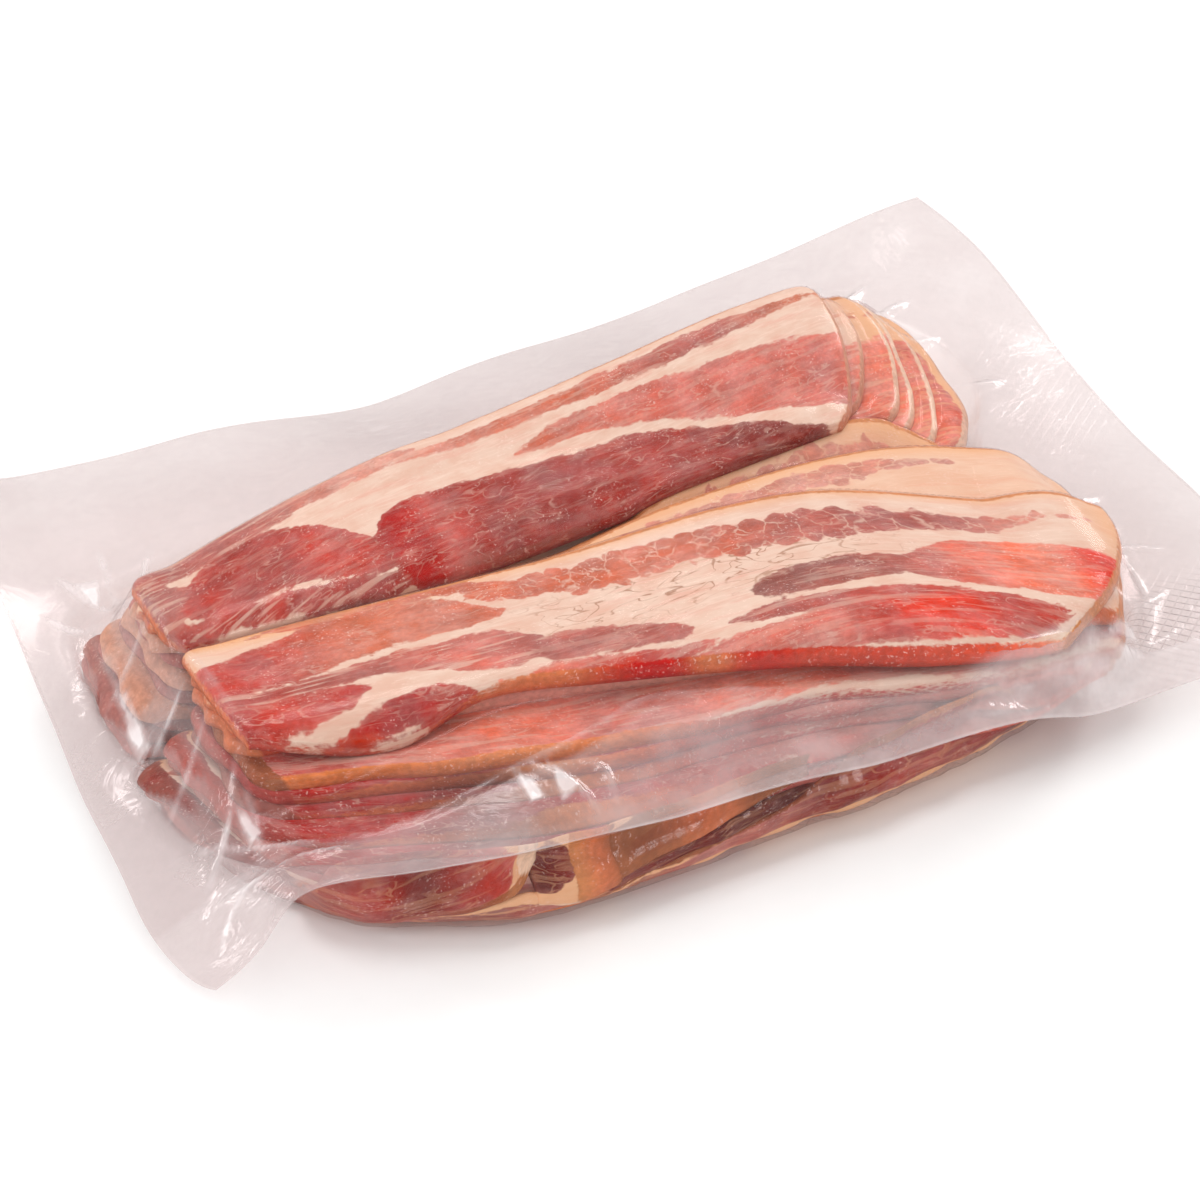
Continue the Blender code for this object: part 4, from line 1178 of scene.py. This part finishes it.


# The slices that lie folded against the front of the lower half: their span along X,
# their lower and upper edges as heights along X (all in millimetres), how far each
# stands back from the film, its muscles and the colours of its edges. Their dark
# lean colours are partly painted shade, that of the overhanging flange.
WRAPS = [
    {
        "name": "wrap_curled", "span": (-117, -66.5), "back_off": 0.3,
        "low": [(-117, 3), (-111, 2.2), (-100, 3.6), (-90, 7.0), (-78, 11.6), (-71, 15.5), (-66.5, 19)],
        "high": [(-117, 12), (-108, 24), (-66.5, 24)],
        "muscles": [([(-117, 10), (-100, 13), (-84, 12), (-74, 8)], [(-117, 12), (-105, 16), (-92, 16), (-84, 13), (-76, 7.5), (-71, 0)], [(-117, "mauve"), (-104, "deep"), (-92, "dark"), (-84, "deep"), (-74, "red")], 0.0, 0.2)],
        "rims": [("low", [(-117, 2.0), (-80, 2.6), (-66, 3.0)], [(-117, "mauve"), (-100, "mauve"), (-80, "umber"), (-66, "rind")]),
                 ("right", [(-117, 4.6), (-66, 5.0)], [(-117, "cream"), (-66, "cream")])],
    },
    {
        "name": "wrap_block", "span": (-69, -47), "back_off": 0.5,
        "low": [(-69, 8.0), (-60, 5.5), (-53, 5.0), (-47, 7.5)],
        "high": [(-69, 24), (-47, 23)],
        "muscles": [([(-69, 12), (-62, 14)], [(-69, 6), (-65, 6.5), (-60, 4.5), (-57, 0)], [(-69, "wine"), (-58, "dark")], 0.0, 0.2)],
        "rims": [("right", [(-69, 11), (-47, 13)], [(-69, "umber"), (-58, "rind"), (-52, "tan"), (-47, "umber")]), ("low", [(-69, 1.4), (-47, 2.4)], [(-69, "cream"), (-47, "cream")])],
    },
    {
        "name": "wrap_foot", "span": (-99, -44), "back_off": 0.9,
        "low": [(-99, 1.2), (-90, 0.9), (-60, 0.9), (-44, 2.0)],
        "high": [(-99, 4.0), (-90, 8.0), (-78, 12), (-70, 14), (-60, 8.0), (-53, 6.5), (-44, 8)],
        "muscles": [([(-98, 3), (-70, 6)], [(-99, 3), (-86, 5), (-76, 6), (-68, 5), (-56, 3.5), (-48, 0)], [(-98, "mauve"), (-80, "brown"), (-64, "mauve"), (-48, "umber")], 0.0, 0.5)],
        "rims": [("low", [(-99, 1.4), (-44, 1.4)], [(-99, "mauve"), (-44, "umber")])],
    },
    {
        "name": "wrap_tan", "span": (-49, 6), "back_off": 0.5,
        "low": [(-49, 9), (-42, 11.6), (-30, 13.8), (-15, 15.6), (6, 17.6)],
        "high": [(-49, 23), (6, 23)],
        "muscles": [([(-44, 6), (-30, 5), (-20, 5)], [(-46, 0), (-40, 2.2), (-30, 2.4), (-22, 1.2), (-16, 0)], [(-46, "brown"), (-16, "ember")], 0.0, 0.6)],
        "rims": [("low", [(-49, 14), (6, 14)], [(-49, "umber"), (-36, "umber"), (-20, "tan"), (-8, "umber"), (6, "umber")])],
    },
    {
        "name": "wrap_lean", "span": (-51, 16), "back_off": 1.1,
        "low": [(-51, 4.5), (-40, 7.0), (-20, 10), (0, 12.5), (16, 15)],
        "high": [(-51, 11), (-40, 13), (-20, 15.4), (0, 16.6), (10, 16.2), (16, 15.6)],
        "muscles": [([(-51, 3), (16, 3)], [(-51, 6), (16, 6)], [(-51, "dark"), (-20, "wine"), (16, "wine")], 0.0, 0.15)],
        "rims": [("low", [(-51, 0.6), (16, 0.6)], [(-51, "dark"), (16, "dark")])],
    },
    {
        "name": "wrap_band", "span": (-50, 96), "back_off": 0.45,
        "low": [(-50, 3.6), (-30, 4.8), (0, 6.0), (30, 6.5), (60, 6), (90, 6), (108, 7)],
        "high": [(-50, 6.0), (-40, 8.6), (-20, 11.4), (0, 14.5), (14, 18), (30, 21), (108, 21)],
        "muscles": [([(-50, 1), (-30, 2), (0, 4.5), (30, 6.5), (108, 7)], [(-51, 0), (-44, 1.6), (-24, 2.6), (-10, 4.4), (4, 7), (14, 10), (30, 12), (80, 12), (108, 12)],
                     [(-50, "umber"), (-30, "mauve"), (-6, "mauve"), (10, "dark"), (34, "deep"), (70, "dark"), (108, "mauve")], 0.0, 0.22)],
        "rims": [("high", [(-50, 0.9), (0, 0.9), (26, 1.2), (46, 1.6), (70, 0.8), (108, 0.6)], [(-50, "umber"), (20, "umber"), (50, "rind"), (108, "mauve")])],
    },
    {
        "name": "wrap_low", "span": (-46, 100), "back_off": 0.9,
        "low": [(-46, 1.6), (-38, 0.9), (100, 0.9), (112, 1.6)],
        "high": [(-46, 3.8), (-30, 5.6), (0, 7.0), (30, 7.4), (112, 7.4)],
        "muscles": [([(-46, 3), (112, 3)], [(-46, 3), (0, 4.6), (60, 4.4), (112, 4)], [(-46, "mauve"), (10, "brown"), (50, "deep"), (112, "mauve")], 0.0, 0.4)],
        "rims": [("low", [(-46, 0.9), (112, 0.9)], [(-46, "umber"), (112, "mauve")])],
    },
]


class BACON_OT_wraps(bpy.types.Operator):
    """Folds the outer slices against the front of the lower half"""

    bl_idname = "bacon.wraps"
    bl_label = "Folded slices"

    def execute(self, context):
        maps = pack_maps()
        for number, wrap in enumerate(WRAPS):
            self.fold(maps, wrap, number)
        return {"FINISHED"}

    def fold(self, maps, wrap, number):
        stations = np.arange(wrap["span"][0], wrap["span"][1] + 0.4, 0.8) / 1000
        shares = edge_steps(0.016, 22)
        outer, inner, low_mm, high_mm = [], [], [], []
        for x in stations:
            edge = float(curve(FRONT_LOW_FRONT, x))
            tuck = np.arange(edge - WRAP_TUCK, -0.050, 0.0004)
            open_to = sampled(maps.upper, np.full_like(tuck, x), tuck) - sampled(maps.lower, np.full_like(tuck, x), tuck)
            tuck = tuck[np.argmax(open_to > WRAP_PARTING) :]
            z = sampled(maps.lower, np.full_like(tuck, x), tuck)
            _, y = bellied(np.full_like(tuck, x), tuck, z, maps.margin)
            along = np.concatenate([[0], np.cumsum(np.hypot(np.diff(y), np.diff(z)))])
            fall = np.minimum.accumulate(z)
            lean_y, lean_z = np.gradient(y, along), np.gradient(z, along)
            low, high = (np.interp(-float(curve(wrap[k], x * 1000)) / 1000, -fall, along) for k in ("low", "high"))
            at = low + (high - low) * shares
            py, pz = np.interp(at, along, y), np.interp(at, along, z)
            slope = np.stack([np.interp(at, along, lean_y), np.interp(at, along, lean_z)])
            slope /= np.maximum(np.hypot(*slope), 1e-9)
            inward = np.stack([-slope[1], slope[0]])
            ends = min(x * 1000 - wrap["span"][0], wrap["span"][1] - x * 1000) / 1000
            near = np.minimum(np.minimum(np.abs(at - low), np.abs(high - at)), ends)
            round_off = 0.0013 * (1 - np.sqrt(1 - (1 - np.clip(near / 0.0016, 0, 1)) ** 2))
            swell = 0.0004 * np.sin(x * 310 + number) * np.sin(at * 420 + 2 * number)
            depth = FILM_GAP * 1.4 + wrap["back_off"] / 1000 + round_off + swell
            outer.append(np.stack([np.full_like(at, x), py + inward[0] * depth, np.maximum(pz + inward[1] * depth, 0.0006)], -1))
            depth = depth + 0.0018 * np.clip(near / 0.0016, 0, 1) ** 0.5
            inner.append(np.stack([np.full_like(at, x), py + inward[0] * depth, np.maximum(pz + inward[1] * depth, 0.0008)], -1))
            for side in (outer[-1], inner[-1]):
                side[:, 2] = np.minimum(side[:, 2], sampled(maps.upper, side[:, 0], side[:, 1]) - 0.0007)
            low_mm.append(np.abs(at - low) * 1000)
            high_mm.append(np.abs(high - at) * 1000)
        outer, inner = (np.array(side).transpose(1, 0, 2) for side in (outer, inner))
        low_mm, high_mm = np.array(low_mm).T, np.array(high_mm).T
        points, faces, used = closed_grid(*(placed(*np.moveaxis(side, -1, 0)) for side in (outer, inner)))
        slab = mesh_piece(wrap["name"], points, faces, bacon_material())
        x_mm = outer[..., 0] * 1000
        distances = {"low": low_mm, "high": high_mm, "left": x_mm - wrap["span"][0], "right": wrap["span"][1] - x_mm}
        place = [np.stack([x_mm, low_mm, np.full_like(x_mm, 400 + 23.0 * number)], -1)] * 2
        painted(slab, wrap["muscles"], wrap["rims"], place, x_mm, low_mm, distances, used, 0.0, 0.8)


class BACON_OT_film(bpy.types.Operator):
    """Draws the upper and lower film round the piles"""

    bl_idname = "bacon.film"
    bl_label = "Clear film"

    def execute(self, context):
        maps = pack_maps()
        cell = context.scene.film_look.cell
        flat = np.meshgrid(
            np.linspace(-POUCH_LENGTH / 2, POUCH_LENGTH / 2, int(POUCH_LENGTH / cell)),
            np.linspace(-POUCH_WIDTH / 2, POUCH_WIDTH / 2, int(POUCH_WIDTH / cell)),
        )
        x, y = rim(*flat)
        above, below = sampled(maps.upper, x, y), sampled(maps.lower, x, y)
        squeeze = np.maximum(MARGIN_GAP - (above - below), 0)
        above, below = above + squeeze / 2, np.maximum(below - squeeze / 2, 0)
        inward = np.minimum(POUCH_LENGTH / 2 - np.abs(flat[0]), POUCH_WIDTH / 2 - np.abs(flat[1]))
        bottoms = np.nan_to_num(maps.undersides, nan=1.0)
        maps_margin = sampled(maps.margin, x, y)
        for name, z, gap, material, turned in (
            ("film_upper", above, above - sampled(maps.meat, x, y), film_material("clear_film", False), False),
            ("film_lower", below, sampled(bottoms, x, y) - below, film_material("clear_embossed_film", True), True),
        ):
            px, py = bellied(x, y, z, maps.margin)
            points = placed(px, py, z)
            sheet = mesh_piece(name, points, grid_faces(*x.shape, flipped=turned), material)
            filled = eased((-0.062 - y) / 0.012) * eased((0.116 - np.abs(x + 0.010)) / 0.012) * eased((maps_margin - z) / 0.004)
            over = eased(sampled(blurred((maps.meat > 0) * 1.0, 3), x, y) * 1.6 - 0.3)
            flange = eased((curve(FLANGE_RIDGE, x) - y) / 0.0022) * (name == "film_upper")
            ends = eased((-0.121 - x) / 0.004)
            loose = eased((gap - 0.0012) / 0.0058) * (1 - 0.9 * filled) * (1 - 0.72 * over * (1 - 0.5 * flange) * (1 - 0.8 * ends))
            sheet.visible_shadow = False
            folded = np.clip(np.abs(sampled(maps.upper - maps.plain, x, y)) / 0.0008, 0, 1)
            paint(sheet, "place_mm", np.stack([flat[0] * 1000, flat[1] * 1000, z * 1000], -1).reshape(-1, 3))
            paint(sheet, "loose", loose.ravel())
            paint(sheet, "crumple", (0.10 + 0.25 * loose + 0.5 * folded).ravel())
            # The front flange's haze, partly painted sheen.
            paint(sheet, "milk_and_sheen", (flange * curve(FLANGE_MILK_AND_SHEEN, x)).ravel())
            # Painted shade under the slack film on the left; the film is also made greyer towards the back.
            slack = eased((-0.124 - x) / 0.010) * (0.35 + 0.65 * eased((0.030 - y) / 0.060))
            paint(sheet, "slack_and_shade", (slack + 0.3 * eased((y - 0.060) / 0.02)).ravel())
            paint(sheet, "rim_mm", (inward * 1000).ravel())
            # The creases' crests and the painted highlight patches go into the fold mask, which the film shows as
            # whitish haze.
            crests = np.maximum(sampled(maps.folds, x, y), 2.0 * facets(x, y))
            paint(sheet, "fold", (crests * (name == "film_upper")).ravel())
            pressed = eased((-0.062 - flat[1]) / 0.018) * eased((flat[0] + 0.030) / 0.050)
            paint(sheet, "emboss", (0.10 + 0.90 * pressed).ravel())
        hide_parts(SOLID)
        return {"FINISHED"}


class BACON_OT_stage(bpy.types.Operator):
    """Sets the floor, the lights and the camera"""

    bl_idname = "bacon.stage"
    bl_label = "Studio"

    def execute(self, context):
        look = context.scene.stage_look
        scene = context.scene
        material = bpy.data.materials.new("studio_floor")
        material.use_nodes = True
        n = Nodes(material.node_tree)
        shader = material.node_tree.nodes["Principled BSDF"]
        grain = n.noise(n.add("TexCoord").outputs["Object"], 60.0, 3.0)
        tone = n.mix(n.step(grain, 0.3, 0.7, 0.0, 1.0), tuple(look.floor) + (1,), tuple(c * 0.985 for c in look.floor) + (1,))
        n.feed(shader.inputs["Base Color"], tone)
        shader.inputs["Roughness"].default_value = 0.9
        mesh = bpy.data.meshes.new("studio_floor")
        mesh.from_pydata([(-6, -6, 0), (6, -6, 0), (6, 6, 0), (-6, 6, 0)], [], [(0, 1, 2, 3)])
        mesh.materials.append(material)
        floor = bpy.data.objects.new("studio_floor", mesh)
        floor.location.z = -0.0002
        scene.collection.objects.link(floor)

        world = bpy.data.worlds.new("soft_studio")
        world.use_nodes = True
        sky = world.node_tree.nodes["Background"]
        sky.inputs["Color"].default_value = (1.0, 0.99, 0.98, 1)
        sky.inputs["Strength"].default_value = look.ambient
        scene.world = world
        self.softbox("window_left", (-1.10, 0.10, 0.62), (0, 0, 0.02), 0.40, 0.45, 3.2)
        self.softbox("window_right", (1.00, 0.50, 0.70), (0, 0, 0.02), 0.35, 0.45, 3.9)
        self.softbox("overhead", (-0.10, 0.35, 1.30), (0, 0, 0), 0.5, 0.5, 4)
        self.softbox("glint_left", (-0.80, 0.90, 0.42), (-0.10, 0, 0.02), 0.16, 0.16, 0.7)
        self.softbox("glint_front", (0.43, -1.05, 0.63), (0, -0.08, 0.02), 0.16, 0.16, 1.0)
        self.softbox("glint_back", (0.47, 0.97, 0.89), (0, 0, 0.02), 0.05, 0.12, 0.08)

        camera = bpy.data.objects.new("camera", bpy.data.cameras.new("camera"))
        scene.collection.objects.link(camera)
        target = Vector((-0.01238 - OUTLINE_MIDDLE[0], -0.01501 - OUTLINE_MIDDLE[1], 0.020))
        a, e = math.radians(look.azimuth), math.radians(look.elevation)
        back = Vector((math.sin(a) * math.cos(e), -math.cos(a) * math.cos(e), math.sin(e)))
        camera.location = target + back * look.distance
        camera.rotation_euler = (-back).to_track_quat("-Z", "Y").to_euler()
        camera.data.lens = look.lens
        camera.data.sensor_width = 36
        camera.data.clip_start = 0.05
        scene.camera = camera
        scene.view_settings.view_transform = "Standard"
        return {"FINISHED"}

    def softbox(self, name, location, target, width, height, power):
        light = bpy.data.lights.new(name, "AREA")
        light.shape = "RECTANGLE"
        light.size, light.size_y, light.energy = width, height, power
        box = bpy.data.objects.new(name, light)
        box.location = location
        box.rotation_euler = (Vector(target) - Vector(location)).to_track_quat("-Z", "Y").to_euler()
        bpy.context.scene.collection.objects.link(box)


class BACON_PT_panel(bpy.types.Panel):
    """Lists the pack's steps in the sidebar"""

    bl_idname = "BACON_PT_panel"
    bl_label = "Bacon pack"
    bl_space_type = "VIEW_3D"
    bl_region_type = "UI"
    bl_category = "Bacon pack"

    def draw(self, context):
        for step in STEPS:
            self.layout.operator(step.bl_idname)
        for name in LOOKS:
            look = getattr(context.scene, name)
            column = self.layout.column()
            for prop in look.bl_rna.properties:
                if prop.identifier not in ("rna_type", "name"):
                    column.prop(look, prop.identifier)


STEPS = (BACON_OT_slices, BACON_OT_wraps, BACON_OT_film, BACON_OT_stage)
LOOKS = {"bacon_look": BaconLook, "film_look": FilmLook, "stage_look": StageLook}


def register():
    for kind in (*LOOKS.values(), *STEPS, BACON_PT_panel):
        bpy.utils.register_class(kind)
    for name, kind in LOOKS.items():
        setattr(bpy.types.Scene, name, PointerProperty(type=kind))


def unregister():
    for name in LOOKS:
        delattr(bpy.types.Scene, name)
    for kind in reversed((*LOOKS.values(), *STEPS, BACON_PT_panel)):
        bpy.utils.unregister_class(kind)


def main():
    register()
    for step in ("slices", "wraps", "film", "stage"):
        getattr(bpy.ops.bacon, step)()


if __name__ == "__main__":
    main()
